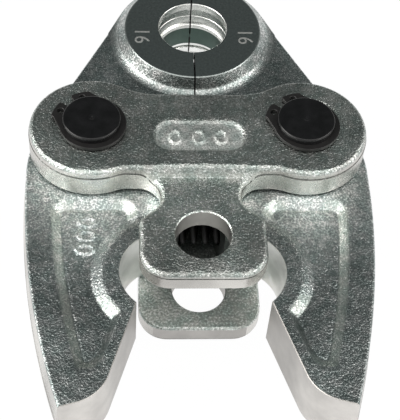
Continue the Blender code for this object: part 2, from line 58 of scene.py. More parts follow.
MIDDLE_Z = (pin_low.z + pin_high.z) / 2
CAMERA_FROM_BOLT_AXIS = (-20.383, -176.289, 241.670)
BOLT_BEHIND_PINS = 32.9
STEM_OUTER = 15.0
CAMERA_TURN = (37.305, -3.016, -2.192)
FOCAL_PIXELS = 1221.6
LONG_SIDE_PIXELS = 420
LAMP_COLOUR = (1, 0.97, 0.945)
LAMP_AIM = Vector((0, 0, 0.02))
ROOM_TONES = ((0.0, (0.8, 0.79, 0.77)), (0.3, (0.4, 0.41, 0.4)), (0.7, (0.135, 0.152, 0.15)))
NEAR_WALLS_STRENGTH = 1.2
FAR_WALLS_STRENGTH = 0.5
TABLE_HALF = 4.0
TABLE_TONE = (0.86, 0.86, 0.86)
TABLE_DROP = 0.0004
TABLE_GLOW = 1.02
SEEN_GLOW_SHARE = 0.96
MIRRORED_GLOW_SHARE = 0.88


def add_object(name, data):
    obj = bpy.data.objects.new(name, data)
    bpy.context.scene.collection.objects.link(obj)
    return obj


def soft_lamp(name, place, size, power):
    """A rectangular softbox that faces the jaw."""
    data = bpy.data.lights.new(name, "AREA")
    data.shape = "RECTANGLE"
    data.size, data.size_y = size
    data.energy = power
    data.color = LAMP_COLOUR
    lamp = add_object(name, data)
    lamp.location = place
    lamp.rotation_euler = (LAMP_AIM - Vector(place)).to_track_quat("-Z", "Y").to_euler()


def feed(tree, receiver, inputs):
    """Gives a node's inputs a number or a colour each, or the output of another node."""
    for socket, value in inputs.items():
        if isinstance(value, bpy.types.Node):
            value = value.outputs[0]
        if isinstance(value, bpy.types.NodeSocket):
            tree.links.new(value, receiver.inputs[socket])
        else:
            receiver.inputs[socket].default_value = value


def node(tree, kind, inputs=None, **settings):
    """Adds a shader node with its settings and its inputs."""
    made = tree.nodes.new(f"ShaderNode{kind}")
    for setting, value in settings.items():
        setattr(made, setting, value)
    feed(tree, made, inputs or {})
    return made


def colour_ramp(tree, along, stops, interpolation="LINEAR"):
    """Colours by (share, tone) stops along a value."""
    made = node(tree, "ValToRGB", {"Fac": along})
    ramp = made.color_ramp
    ramp.interpolation = interpolation
    for element, (share, tone) in zip(ramp.elements, (stops[0], stops[-1])):
        element.position = share
        element.color = (*tone, 1)
    for share, tone in stops[1:-1]:
        ramp.elements.new(share).color = (*tone, 1)
    return made


def new_finish(name, metallic):
    """A new material, with its node tree and its shader."""
    material = bpy.data.materials.new(name)
    material.use_nodes = True
    shader = material.node_tree.nodes["Principled BSDF"]
    shader.inputs["Metallic"].default_value = metallic
    return material, material.node_tree, shader


camera_data = bpy.data.cameras.new("photo_camera")
camera_data.sensor_width = 36
camera_data.lens = FOCAL_PIXELS / LONG_SIDE_PIXELS * camera_data.sensor_width
camera_data.clip_start = 0.01
camera = add_object("photo_camera", camera_data)
camera.location = (
    CAMERA_FROM_BOLT_AXIS[0] * MM,
    PIN_LINE_Y + (CAMERA_FROM_BOLT_AXIS[1] - BOLT_BEHIND_PINS) * MM,
    MIDDLE_Z + (CAMERA_FROM_BOLT_AXIS[2] + STEM_OUTER) * MM,
)
camera.rotation_euler = [math.radians(turn) for turn in CAMERA_TURN]
bpy.context.scene.camera = camera
bpy.context.scene.view_settings.view_transform = "Standard"

soft_lamp("lamp_overhead", (-0.08, -0.33, 0.83), (1.5, 0.84), 4.6)
soft_lamp("lamp_left", (-0.66, -0.06, 0.46), (0.55, 0.5), 3.9)
soft_lamp("lamp_right", (0.66, -0.10, 0.55), (0.5, 0.5), 2.2)
soft_lamp("lamp_front_left", (-0.56, -0.50, 0.36), (0.36, 0.28), 1.0)
soft_lamp("lamp_front_right", (0.56, -0.52, 0.36), (0.30, 0.24), 0.6)

world = bpy.data.worlds.new("studio_walls")
bpy.context.scene.world = world
world.use_nodes = True
room = world.node_tree
direction = node(room, "SeparateXYZ", {"Vector": node(room, "TexCoord").outputs["Generated"]})
walls = colour_ramp(room, direction.outputs["Z"], ROOM_TONES, "EASE")
strength = node(room, "MapRange", {"Value": direction.outputs["Y"], "From Min": -1.0,
                                   "To Min": NEAR_WALLS_STRENGTH, "To Max": FAR_WALLS_STRENGTH})
feed(room, room.nodes["Background"], {"Color": walls, "Strength": strength})

bm = bmesh.new()
bmesh.ops.create_grid(bm, x_segments=1, y_segments=1, size=TABLE_HALF)
bmesh.ops.translate(bm, verts=bm.verts, vec=(0, 0, -TABLE_DROP))
floor_mesh = bpy.data.meshes.new("white_table")
bm.to_mesh(floor_mesh)
bm.free()
floor = add_object("white_table", floor_mesh)
table_top, tree, shader = new_finish("white_table", 0.0)
feed(tree, shader, {"Base Color": (*TABLE_TONE, 1), "Roughness": 0.6})
seen = node(tree, "LightPath").outputs
mirrored = node(tree, "Math", {0: seen["Is Glossy Ray"], 1: MIRRORED_GLOW_SHARE}, operation="MULTIPLY")
either = node(tree, "Math", {0: seen["Is Camera Ray"], 1: mirrored}, operation="MAXIMUM")
any_of = node(tree, "Math", {0: either, 1: seen["Is Transmission Ray"]}, operation="MAXIMUM")
share = node(tree, "Math", {0: any_of, 1: SEEN_GLOW_SHARE}, operation="MULTIPLY")
glow = node(tree, "Emission", {"Color": (1, 1, 1, 1), "Strength": TABLE_GLOW})
mixed = node(tree, "MixShader", {"Fac": share, 1: shader, 2: glow})
feed(tree, tree.nodes["Material Output"], {"Surface": mixed})
floor_mesh.materials.append(table_top)

# Side plates
# Each is one steel forging, T-shaped: a thick crossbar with an ear round each pin, and a thinner stem
# that the machine's bolt goes through. Shot-blasted, drilled, and plated with bright zinc.
EAR_RADIUS = 16.4
PIN_HALF_SPACING = 27.8
PLATE_INNER = 9.1
CROSSBAR_OUTER = 17.9
WAIST_DROPS = ((4.6, 18.0), (1.8, 8.0))
STEM_HALF_WIDTH = 15.8
STEM_CORNER = 7.5
NECK_HALF_WIDTH = 10.3
NECK_LENGTH = 8.4
NECK_BLEND = 5.8
NECK_FOOT_BLEND = 4.2
SHOULDER_DROP = 5.1
SHOULDER_BLEND = 2.5
STEM_END = 45.35
PLATE_EDGE = 1.4
INNER_EDGE = 0.9
TRIM_PROUD = 0.12
TRIM_GROOVE = 0.3
TRIM_GROOVE_HEIGHT = 0.16
TRIM_BEAD_DROP = 0.14
TRIM_LINE = STEM_OUTER - PLATE_EDGE
WALL_FOOT = PLATE_INNER + INNER_EDGE
BOLT_HOLE_RADIUS = 7.0
PIN_HOLE_RADIUS = 7.6
HOLE_CHAMFER = 0.3
SPOT_FACE_RADIUS = 10.0
SPOT_FACE_DEPTH = 0.12
STEP_FOOT_BEHIND = 15.25
STEP_TOP_BEHIND = 11.0
STEP_RUN = 2.5
STEP_WALL_RUN = 0.9
STEP_WALL_SHARE = 0.56
STEP_STRAIGHT_HALF = 10.6
STEP_SLANT = 0.22
STEP_HALF_LENGTH = 17.5
PAD_HALF_LENGTH = 12.3
PAD_HALF_WIDTH = 5.45
PAD_BEHIND_PINS = 3.2
PAD_DEPTH = 0.8
PAD_TILT = 0.08
PAD_WALL_RUN = 1.5
PAD_MARKS = (-6.3, -0.2, 5.6)
PAD_MARK_HALVES = (1.35, 1.9)
PAD_MARK_HEIGHT = 0.42
MARK_STROKE = 0.55
SIDE_CUTS = (13.2, 17.4, 0.6)
PAD_CUTS_X = (-12.8, 12.8, 0.4)
PAD_CUTS_Y = (-9.2, 2.8, 0.4)
STEP_CUTS = (-16.4, -12.6, 0.19)
ARCS_SHARE = 0.96
SHARP_ANGLE = math.radians(32)
WALL_TONE = (0.635, 0.62, 0.59)
STAIN_TONE = (0.7, 0.77, 0.76)


def arc(x, y, radius, start, end, steps):
    """Points on an arc about (x, y), from one angle in degrees to another."""
    angles = [math.radians(start + (end - start) * k / steps) for k in range(steps + 1)]
    return [Vector((x + radius * math.cos(a), y + radius * math.sin(a))) for a in angles]


def pushed_out(corners):
    """Corners (x, y, radius, outward) of an anticlockwise outline, each side moved out by its own amount."""
    moved = []
    for i, (x, y, radius, out) in enumerate(corners):
        before, after = corners[i - 1], corners[(i + 1) % len(corners)]
        arriving = (Vector((x, y)) - Vector(before[:2])).normalized()
        leaving = (Vector(after[:2]) - Vector((x, y))).normalized()
        turn = arriving.cross(leaving)
        step = (out * arriving - before[3] * leaving) / turn
        if radius:
            radius += (out + before[3]) / 2 * math.copysign(1, turn)
        moved.append((x + step.x, y + step.y, radius))
    return moved


def rounded(corners, steps):
    """Outline points from (x, y, radius) corners, each rounded by an arc tangent to its two sides."""
    places = [Vector((x, y)) for x, y, radius in corners]
    backs = [places[i - 1] - place for i, place in enumerate(places)]
    aheads = [-backs[(i + 1) % len(backs)] for i in range(len(backs))]
    halves = [back.angle(ahead) / 2 for back, ahead in zip(backs, aheads)]
    reaches = [radius / math.tan(half) for (x, y, radius), half in zip(corners, halves)]
    shares = []
    for i, ahead in enumerate(aheads):
        wanted = reaches[i] + reaches[(i + 1) % len(places)]
        room = ARCS_SHARE * ahead.length
        shares.append(room / wanted if wanted > room else 1)
    points = []
    for i, place in enumerate(places):
        if not reaches[i]:
            points.append(place)
            continue
        reach = reaches[i] * min(shares[i - 1], shares[i])
        back, ahead = backs[i].normalized(), aheads[i].normalized()
        centre = place + (back + ahead).normalized() * reach / math.cos(halves[i])
        start = place + back * reach - centre
        sweep = (math.pi - 2 * halves[i]) * math.copysign(1, ahead.cross(back))
        for k in range(steps + 1):
            spoke = start.copy()
            spoke.rotate(Matrix.Rotation(sweep * k / steps, 2))
            points.append(centre + spoke)
    return points


def lofted(levels):
    """Closed mesh through (outline, z) levels of equal point counts, from the lowest up, and its top face."""
    bm = bmesh.new()
    outline, z = levels[0]
    floor_face = cap = bm.faces.new([bm.verts.new((x, y, z)) for x, y in outline])
    for outline, z in levels[1:]:
        below = cap
        made = bmesh.ops.extrude_face_region(bm, geom=[below])["geom"]
        cap = next(item for item in made if isinstance(item, bmesh.types.BMFace))
        for vertex, (x, y) in zip(cap.verts, outline):
            vertex.co = (x, y, z)
        if below is not floor_face:
            bmesh.ops.delete(bm, geom=[below], context="FACES_ONLY")
    bmesh.ops.recalc_face_normals(bm, faces=bm.faces)
    return bm, cap


def gridded(bm, face, xs, ys):
    """Cuts one flat face along the given x and y values. Its neighbours get the new corners too."""
    parts = [face]
    for values, normal in ((xs, (1, 0, 0)), (ys, (0, 1, 0))):
        for value in values:
            edges = list({edge for part in parts for edge in part.edges})
            verts = list({vert for part in parts for vert in part.verts})
            cut = bmesh.ops.bisect_plane(bm, geom=parts + edges + verts, dist=1e-5, plane_no=normal,
                                         plane_co=[value * n for n in normal])
            parts = [item for item in cut["geom"] if isinstance(item, bmesh.types.BMFace)]
    return parts


def spaced(start, end, step):
    count = max(1, round((end - start) / step))
    return [start + (end - start) * k / count for k in range(count + 1)]


def smooth(share):
    share = min(max(share, 0), 1)
    return share * share * (3 - 2 * share)


def ring_mark(x, y, half_x, half_y):
    """How far a point stands on a raised oval ring, from 0 beside it to 1 on its crest."""
    across = math.hypot(x / half_x, y / half_y)
    from_crest = abs(across - 1) * min(half_x, half_y)
    return 1 - smooth(from_crest / MARK_STROKE)


def crossbar_half(inset):
    """Right half of the crossbar's outline, from the rear waist round the ear to the front waist."""
    blends = []
    for drop, blend in WAIST_DROPS:
        rise = EAR_RADIUS - drop + blend
        run = math.sqrt((EAR_RADIUS + blend) ** 2 - rise ** 2)
        blends.append((run, rise, blend + inset, math.degrees(math.atan2(rise, -run))))
    (front_run, front_rise, front_blend, front_angle), (rear_run, rear_rise, rear_blend, rear_angle) = blends
    half = arc(PIN_HALF_SPACING - rear_run, -rear_rise, rear_blend, 90, 180 - rear_angle, 10)
    half += arc(PIN_HALF_SPACING, 0, EAR_RADIUS - inset, -rear_angle, front_angle, 72)
    half += arc(PIN_HALF_SPACING - front_run, front_rise, front_blend, front_angle - 180, -90, 12)
    return half


def plate_outline(inset):
    """The whole T: the stem's rounded end and shoulders, the neck, and the crossbar with its ears."""
    waist = EAR_RADIUS - WAIST_DROPS[1][0]
    neck_end = waist + NECK_LENGTH
    stem = [
        (0, -STEM_END, 0, -inset),
        (STEM_HALF_WIDTH, -STEM_END, STEM_CORNER, -inset),
        (STEM_HALF_WIDTH, -neck_end - SHOULDER_DROP, SHOULDER_BLEND, -inset),
        (NECK_HALF_WIDTH, -neck_end, NECK_FOOT_BLEND, -inset),
        (NECK_HALF_WIDTH, -waist, NECK_BLEND, -inset),
        (NECK_HALF_WIDTH + NECK_BLEND + 1, -waist, 0, 0),
        (0, 0, 0, 0),
    ]
    stem_points = rounded(pushed_out(stem)[:6], 12)
    half = stem_points[1:-1] + crossbar_half(inset)
    return half + [Vector((-point.x, point.y)) for point in reversed(half)]


def plate_rise(x, y):
    """How far the outer face stands above the stem's: the crossbar's step, its pad and the pad's marks."""
    run = y + STEP_FOOT_BEHIND + max(0, abs(x) - STEP_STRAIGHT_HALF) * STEP_SLANT
    step = STEP_WALL_SHARE * smooth(run / STEP_WALL_RUN)
    if run > STEP_WALL_RUN * 0.7:
        to_top = max(0, (STEP_RUN - run) / (STEP_RUN - STEP_WALL_RUN))
        step = max(step, 1 - (1 - STEP_WALL_SHARE) * to_top ** 2)
    if y > -STEP_TOP_BEHIND or abs(x) > STEP_HALF_LENGTH:
        step = 1
    dx = max(0, abs(x) - (PAD_HALF_LENGTH - PAD_HALF_WIDTH))
    inside = PAD_HALF_WIDTH - math.hypot(dx, y + PAD_BEHIND_PINS)
    pad = smooth(inside / PAD_WALL_RUN) * (PAD_DEPTH - PAD_TILT * (y + PAD_BEHIND_PINS))
    marks = max(ring_mark(x - mark, y + PAD_BEHIND_PINS, *PAD_MARK_HALVES) for mark in PAD_MARKS)
    return step * (CROSSBAR_OUTER - STEM_OUTER) - pad + marks * PAD_MARK_HEIGHT


def to_object(name, bm, body, finishes, *replaced):
    """A smooth-shaded piece in the jaw's own place, which rides on a body and stands for CAD nodes."""
    mesh = bpy.data.meshes.new(name)
    bm.to_mesh(mesh)
    bm.free()
    for finish in finishes:
        mesh.materials.append(finish)
    mesh.shade_smooth()
    mesh.set_sharp_from_angle(angle=SHARP_ANGLE)
    obj = add_object(name, mesh)
    obj.modifiers.new("even_shading", "WEIGHTED_NORMAL").keep_sharp = True
    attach(obj, body)
    if replaced:
        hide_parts(*replaced)


def carved(bm, tools):
    """The mesh after each (tool, operation) of a list: DIFFERENCE, INTERSECT or UNION."""
    mesh = bpy.data.meshes.new("carving")
    bm.to_mesh(mesh)
    bm.free()
    work = add_object("carving", mesh)
    used = [work]
    for tool_bm, operation in tools:
        tool_mesh = bpy.data.meshes.new("carving_tool")
        tool_bm.to_mesh(tool_mesh)
        tool_bm.free()
        used.append(add_object("carving_tool", tool_mesh))
        modifier = work.modifiers.new("cut", "BOOLEAN")
        modifier.object = used[-1]
        modifier.operation = operation
        modifier.solver = "EXACT"
    result = bmesh.new()
    evaluated = work.evaluated_get(bpy.context.evaluated_depsgraph_get())
    result.from_mesh(evaluated.to_mesh())
    for obj in used:
        bpy.data.objects.remove(obj)
    bmesh.ops.dissolve_degenerate(result, edges=result.edges, dist=1e-6)
    return result


def turned(profile, segments=128):
    """Closed solid turned about Z from (radius, z) points that start and end on the axis."""
    bm = bmesh.new()
    vertices = [bm.verts.new((radius, 0, z)) for radius, z in profile]
    edges = [bm.edges.new(pair) for pair in zip(vertices, vertices[1:])]
    bmesh.ops.spin(bm, geom=vertices + edges, axis=(0, 0, 1), cent=(0, 0, 0), angle=2 * math.pi,
                   steps=segments, use_merge=True)
    bmesh.ops.remove_doubles(bm, verts=bm.verts, dist=1e-4)
    bmesh.ops.recalc_face_normals(bm, faces=bm.faces)
    return bm


def shifted(bm, x=0.0, y=0.0, z=0.0):
    bmesh.ops.translate(bm, verts=bm.verts, vec=(x, y, z))
    return bm


def rotated(bm, angle, axis):
    bmesh.ops.rotate(bm, verts=bm.verts, cent=(0, 0, 0), matrix=Matrix.Rotation(angle, 3, axis))
    return bm


def hole_cutter(radius, low, high, chamfer, spot_face=0):
    """A drill with a countersink at each face that it breaks through, and a shallow spot face round it."""
    top = [(radius, high - chamfer), (radius + chamfer + 2, high + 2)]
    if spot_face:
        top = [(radius, high - SPOT_FACE_DEPTH), (spot_face, high - SPOT_FACE_DEPTH),
               (spot_face + 0.1, high), (spot_face + 2, high + 2)]
    bottom = [(0, low - 2), (radius + chamfer + 2, low - 2), (radius, low + chamfer)]
    return turned(bottom + top + [(0, high + 2)])


def in_place(bm):
    """From millimetres about the midpoint between the pins to the jaw's place in metres."""
    bmesh.ops.scale(bm, verts=bm.verts, vec=(MM, MM, MM))
    bmesh.ops.translate(bm, verts=bm.verts, vec=(0, PIN_LINE_Y, MIDDLE_Z))
    return bm


def reflected(bm, across):
    """The mesh's mirror image: 'x' turns a right piece into a left one, 'z' an upper into a lower."""
    bmesh.ops.scale(bm, verts=bm.verts, vec=(-1, 1, 1) if across == "x" else (1, 1, -1))
    bmesh.ops.reverse_faces(bm, faces=bm.faces)
    return bm


def noise(tree, place, scale, detail, roughness=0.5):
    return node(tree, "TexNoise", {"Vector": place, "Scale": scale, "Detail": detail, "Roughness": roughness})


def ranged(tree, value, start, end, low, high, interpolation="LINEAR"):
    """A value's stretch from start to end, mapped to low and high."""
    return node(tree, "MapRange", {"Value": value, "From Min": start, "From Max": end, "To Min": low,
                                   "To Max": high}, interpolation_type=interpolation)


def bump(tree, height, strength, distance):
    return node(tree, "Bump", {"Height": height, "Strength": strength, "Distance": distance})


def toned(tone, gain):
    return [channel * gain for channel in tone]


def forged_zinc(name, tone, contrast, grain, depth, glint):
    """Zinc plate over a shot-blasted forging: dark peened grain with near-white painted glints on its crests,
    and smooth pale walls.
    """
    material, tree, shader = new_finish(name, 1.0)
    own = node(tree, "TexCoord")
    place = own.outputs["Object"]
    facing = node(tree, "SeparateXYZ", {"Vector": own.outputs["Normal"]})
    upright = node(tree, "Math", {0: facing.outputs["Z"]}, operation="ABSOLUTE")
    flat = ranged(tree, upright, 0.15, 0.5, 0, 1, "SMOOTHSTEP")
    blasted = ranged(tree, upright, 0.12, 0.5, 0.3, 1, "SMOOTHSTEP")
    dents = noise(tree, place, grain, 2, 0.55)
    swells = noise(tree, place, grain / 7, 2)
    patches = noise(tree, place, grain / 6, 5)
    drift = noise(tree, place, 62, 2)
    broad = bump(tree, swells, 0.5, depth * 2)
    fine = bump(tree, dents, blasted, depth)
    feed(tree, fine, {"Normal": broad})
    # Painted glints: the grain's crests are coloured near white, beside its real dark and light speckle.
    crest = min(1, sum(tone) / 3 * (1 + 1.3 * contrast))
    grain_with_painted_glints = colour_ramp(tree, dents, ((0.34, toned(tone, 1 - 0.58 * contrast)),
                                        (0.53, toned(tone, 1 - 0.1 * contrast)),
                                        (0.66, (crest, crest * 0.995, crest * 0.98))))
    stained = node(tree, "Mix", {"Factor": ranged(tree, patches, 0.36, 0.62, 0, 1), "A": grain_with_painted_glints,
                                 "B": (*STAIN_TONE, 1)}, data_type="RGBA", blend_type="MULTIPLY")
    metal = node(tree, "Mix", {"Factor": flat, "A": (*WALL_TONE, 1), "B": stained.outputs["Result"]},
                 data_type="RGBA")
    level = ranged(tree, drift, 0.35, 0.65, 0.78, 1.2)
    levelled = node(tree, "VectorMath", {0: metal.outputs["Result"], "Scale": level}, operation="SCALE")
    shine = ranged(tree, dents, 0.3, 0.7, glint + 0.16, glint)
    feed(tree, shader, {"Base Color": levelled, "Roughness": shine, "Normal": fine})
    return material


def painted_light_along(material, axis, stops, tone, roughness=0):
    """Paints light and shade into a metal: scales its tone and adds to its roughness by (place, share) stops
    along X or Y of the jaw.
    """
    tree = material.node_tree
    shader = tree.nodes["Principled BSDF"]
    (start, first_share), (end, last_share) = stops[0], stops[-1]
    zero = PIN_LINE_Y if axis == "Y" else 0
    own = node(tree, "SeparateXYZ", {"Vector": node(tree, "TexCoord").outputs["Object"]})
    zone = node(tree, "FloatCurve", {
        "Value": ranged(tree, own.outputs[axis], zero + start * MM, zero + end * MM, 0, 1)})
    curve = zone.mapping.curves[0]
    curve.points[0].location = (0, first_share)
    curve.points[1].location = (1, last_share)
    for place, share in stops[1:-1]:
        curve.points.new((place - start) / (end - start), share)
    zone.mapping.update()
    plain_tone = shader.inputs["Base Color"].links[0].from_socket
    plain_roughness = shader.inputs["Roughness"].links[0].from_socket
    gain = node(tree, "Math", {0: zone, 1: tone - 1, 2: 1}, operation="MULTIPLY_ADD")
    raised = node(tree, "Math", {0: zone, 1: roughness, 2: plain_roughness}, operation="MULTIPLY_ADD")
    scaled = node(tree, "VectorMath", {0: plain_tone, "Scale": gain}, operation="SCALE")
    feed(tree, shader, {"Base Color": scaled, "Roughness": raised})


def machined_zinc(name, tone, roughness):
    """Zinc plate over a turned or milled wall: smooth, with fine lines along the cut."""
    material, tree, shader = new_finish(name, 1.0)
    place = node(tree, "TexCoord").outputs["Object"]
    surface = node(tree, "NewGeometry")
    along = node(tree, "VectorMath", {0: surface.outputs["Normal"], 1: (0, 0, 1)}, operation="CROSS_PRODUCT")
    stretched = node(tree, "Mapping", {"Vector": place, "Scale": (90, 90, 5200)})
    lines = noise(tree, stretched, 1, 3)
    stains = noise(tree, place, 160, 4)
    feed(tree, shader, {
        "Base Color": colour_ramp(tree, stains, ((0.3, toned(tone, 0.8)), (0.7, toned(tone, 1.08)))),
        "Roughness": ranged(tree, stains, 0, 1, roughness - 0.08, roughness + 0.1),
        "Normal": bump(tree, lines, 0.35, 0.00002),
        "Tangent": along,
        "Anisotropic": 0.7,
    })
    return material


def surfaced(bm, finishes, finish, belongs):
    """Gives one of a piece's finishes to every face whose centre and normal belong to it."""
    index = finishes.index(finish)
    for face in bm.faces:
        if belongs(face.calc_center_median(), face.normal):
            face.material_index = index


def in_trim_groove(centre, normal):
    """Whether a face lies in the groove that the trimming left under a plate's rounded edge."""
    stretch = 1 + plate_rise(centre.x, centre.y) / (STEM_OUTER - WALL_FOOT)
    return abs(WALL_FOOT + (centre.z - WALL_FOOT) / stretch - TRIM_LINE) < 0.1 and abs(normal.z) < 0.95


def in_pad(centre, normal):
    return (abs(centre.x) < PAD_HALF_LENGTH - 1 and abs(centre.y + PAD_BEHIND_PINS) < PAD_HALF_WIDTH - 0.7
            and centre.z < CROSSBAR_OUTER - 0.05 and normal.z > 0.4)


def in_bolt_hole(centre, normal):
    return abs(normal.z) < 0.7 and math.hypot(centre.x, centre.y + BOLT_BEHIND_PINS) < BOLT_HOLE_RADIUS + 0.3


machined_wall = machined_zinc("machined_zinc_wall", (0.48, 0.465, 0.445), 0.44)
plate_zinc = forged_zinc("blasted_plate_zinc", (0.62, 0.64, 0.61), 0.75, 1900, 0.00024, 0.22)
# Painted light: the plate's zinc is lighter on the stem's face just below the crossbar's step.
painted_light_along(plate_zinc, "Y", ((-44, 0), (-37, 0.1), (-20, 1), (-17, 1), (-14.5, 0)), 1.4)
coined_zinc = forged_zinc("coined_pad_zinc", (0.86, 0.88, 0.85), 1, 2200, 0.00016, 0.42)
inner_zinc = forged_zinc("inner_face_zinc", (0.58, 0.6, 0.57), 0.6, 1700, 0.00018, 0.46)
# Painted shade and light: the plates' inner faces are darker from 28 mm behind the pins forward, between the
# levers, and lighter towards the left.
painted_light_along(inner_zinc, "Y", ((-32, 0), (-28, 1), (10, 1), (18, 1)), 0.6)
painted_light_along(inner_zinc, "X", ((-17, 1), (-7, 0.75), (6, 0.1), (16, 0)), 1.7)
# Painted shade: the groove under each plate's rounded edge is coloured near black.
trim_groove_shade_zinc = forged_zinc("painted_shade_trim_groove", (0.16, 0.16, 0.15), 0.5, 1900, 0.0001, 0.4)
plate_finishes = (plate_zinc, machined_wall, coined_zinc, inner_zinc, trim_groove_shade_zinc)

quarter = [math.radians(degrees) for degrees in (0, 22.5, 45, 67.5, 90)]
levels = []
for angle in quarter:
    levels.append((plate_outline(INNER_EDGE * (1 - math.sin(angle))),
                   PLATE_INNER + INNER_EDGE * (1 - math.cos(angle))))
levels.append((plate_outline(0), TRIM_LINE - TRIM_GROOVE_HEIGHT))
levels.append((plate_outline(TRIM_GROOVE), TRIM_LINE))
for angle in quarter:
    levels.append((plate_outline(TRIM_PROUD + (PLATE_EDGE - TRIM_PROUD) * (1 - math.cos(angle))),
                   STEM_OUTER - (PLATE_EDGE - TRIM_BEAD_DROP) * (1 - math.sin(angle))))
plate, top = lofted(levels)
side_cuts = spaced(*SIDE_CUTS)
cuts_x = [-x for x in reversed(side_cuts)] + spaced(*PAD_CUTS_X) + side_cuts
gridded(plate, top, cuts_x, spaced(*STEP_CUTS) + spaced(*PAD_CUTS_Y))
for vertex in plate.verts:
    x, y, z = vertex.co
    vertex.co.z += plate_rise(x, y) * max(0, z - WALL_FOOT) / (STEM_OUTER - WALL_FOOT)
holes = [shifted(hole_cutter(BOLT_HOLE_RADIUS, PLATE_INNER, STEM_OUTER, HOLE_CHAMFER), y=-BOLT_BEHIND_PINS)]
for across in (PIN_HALF_SPACING, -PIN_HALF_SPACING):
    hole = hole_cutter(PIN_HOLE_RADIUS, PLATE_INNER, CROSSBAR_OUTER, HOLE_CHAMFER, SPOT_FACE_RADIUS)
    holes.append(shifted(hole, x=across))
plate = carved(plate, [(hole, "DIFFERENCE") for hole in holes])
surfaced(plate, plate_finishes, trim_groove_shade_zinc, in_trim_groove)
surfaced(plate, plate_finishes, inner_zinc, lambda centre, normal: normal.z < -0.9)
surfaced(plate, plate_finishes, coined_zinc, in_pad)
surfaced(plate, plate_finishes, machined_wall, in_bolt_hole)
lower_plate = reflected(plate.copy(), "z")
surfaced(lower_plate, plate_finishes, machined_wall,
         lambda centre, normal: abs(normal.z) < 0.2 and centre.y < 1 - STEM_END)
to_object("forged_upper_side_plate", in_place(plate), "side_plates", plate_finishes, "upper_side_plate")
to_object("forged_lower_side_plate", in_place(lower_plate), "side_plates", plate_finishes, "lower_side_plate")

# Jaw levers
# Each is one steel forging: half the pressing mouth, the eye for its pin, and a drive arm with a sunk panel.
# The mouth, the round recess, the cam face and the split are machined, then the whole lever is zinc plated.
LEVER_HALF = 8.5
FORGED_EDGE = 0.65
FULL_SWELL = 1.39
FLASH_HALF = 0.7
FLASH_PROUD = 0.12
MACHINED_EDGE = 0.18
MOUTH_AHEAD = 41.6
NOSE_RADIUS = 21.5
FLANK_FROM_PIN = 15.0
SIDE_FROM_PIN = 16.4
SHOULDER_ROUND = 37.0
SIDE_KNEE_BEHIND = 43.0
SIDE_CURVE_SHARE = 0.92
TIP_FROM_PIN = 6.2
TIP_BEHIND = 76.4
CUSP_BEHIND = 48.4
CUSP_FROM_CENTRE = 16.5
CAM_ANGLE = math.radians(18.1)
CAM_END_ANGLE = math.radians(15.4)
CAM_END_ROUND = 10.5
CAM_LEAD_IN = 3.2
RECESS = Vector((8.7, -39.3))
RECESS_RADIUS = 11.9
RECESS_CHAMFER = 0.15
EYE_CHAMFER = 0.4
SPLIT_HALF = 0.22
SPLIT_CLOSED = 0.04
SPLIT_STRIP = 1.2
LIP_OPEN_BEHIND = 11.0
LIP_CLOSED_BEHIND = 10.2
RELIEF_SLOPE = math.tan(math.radians(12.6))
RELIEF_FOOT_X = 7.3
PAST_MIDDLE = 2.0
BOSS_HALF = 12.4
BOSS_FACE_RADIUS = 19.3
FLANK_FOOT_RADIUS = 21.1
FILLET_FOOT_RADIUS = 24.1
FILLET_TOP = 10.2
BORE_RADIUS = 9.64
BORE_CHAMFER = 0.12
THROAT_HALF = 3.2
PANEL_DEPTH = 1.5
PANEL_FROM_SIDE = 7.0
PANEL_FROM_CAM = 3.5
PANEL_TOP = -17.5
PANEL_END = -65.5
PANEL_INNER_X = 17.2
PANEL_CORNERS = ((35.9, -18.8, 225), (18.5, -18.8, 315), (31.0, -64.7, 135), (26.3, -64.8, 45))
PANEL_BROW = 0.09
PANEL_FOOT = 0.025
SCORE_SHARE = 1.12
SCORE_WIDTH = 0.13
SCORE_DEPTH = 0.09
CORNER_RAMP = 2.33
SIDE_RAMP = 2.3
CAM_RAMP = 1.8
BAND_RAMP = 2.8
TOP_RAMP = 3.6
END_RAMP = 2.2
INNER_RAMP = 2.8
RAMP_BLEND = 0.14
BAND_RADIUS = 17.5
BAND_ZONE_Y = (-60.0, -20.0)
LOW_BAND_Y = (-51.5, -46.0)
CORNER_ZONE = 3.9
SIDE_ZONE_TOP = -19.5
PANEL_ZONE_X = 13.0
PANEL_ZONE_Y = (-72.0, -13.0)
ARM_CUTS_X = (13.2, 44.0, 0.44)
ARM_CUTS_Y = (-74.8, -13.6, 0.44)
SPRING_BEHIND_PINS = 19.0
SPRING_POCKET_RADIUS = 5.3
SPRING_POCKET_FLOOR = 12.0
ARM_MARKS = ((28.6, -23.4), (28.9, -27.6), (29.2, -31.8))
ARM_MARK_HALVES = (2.1, 1.35)
ARM_MARK_HEIGHT = 0.45
SIZE_NUMBER = "16"
NUMBER_FROM_AXIS = 14.6
NUMBER_BEHIND_AXIS = 3.4
NUMBER_HEIGHT = 4.4
EM_PER_HEIGHT = 1.4


def flank():
    """The straight front flank as its outward normal and its distance from the midpoint of the pins."""
    mouth_to_pin = Vector((PIN_HALF_SPACING, -MOUTH_AHEAD))
    lean = math.acos((NOSE_RADIUS - FLANK_FROM_PIN) / mouth_to_pin.length)
    angle = math.atan2(mouth_to_pin.y, mouth_to_pin.x) + lean
    normal = Vector((math.cos(angle), math.sin(angle)))
    return normal, normal.x * PIN_HALF_SPACING + FLANK_FROM_PIN


def cam_x(y):
    return CUSP_FROM_CENTRE - (y + CUSP_BEHIND) * math.tan(CAM_ANGLE)


def side_curve():
    """Centre and radius of the lever's long outer side."""
    run = Vector((SIDE_FROM_PIN - TIP_FROM_PIN, TIP_BEHIND - SIDE_KNEE_BEHIND))
    reach = SIDE_CURVE_SHARE * run.length
    radius = reach / math.tan(math.atan2(run.x, run.y) / 2)
    return Vector((PIN_HALF_SPACING + SIDE_FROM_PIN - radius, reach - SIDE_KNEE_BEHIND)), radius


def relief_y(x):
    """Place behind the pins where the inner face, which leans away from the split, reaches an x."""
    return -1 - (x - SPLIT_HALF) / RELIEF_SLOPE


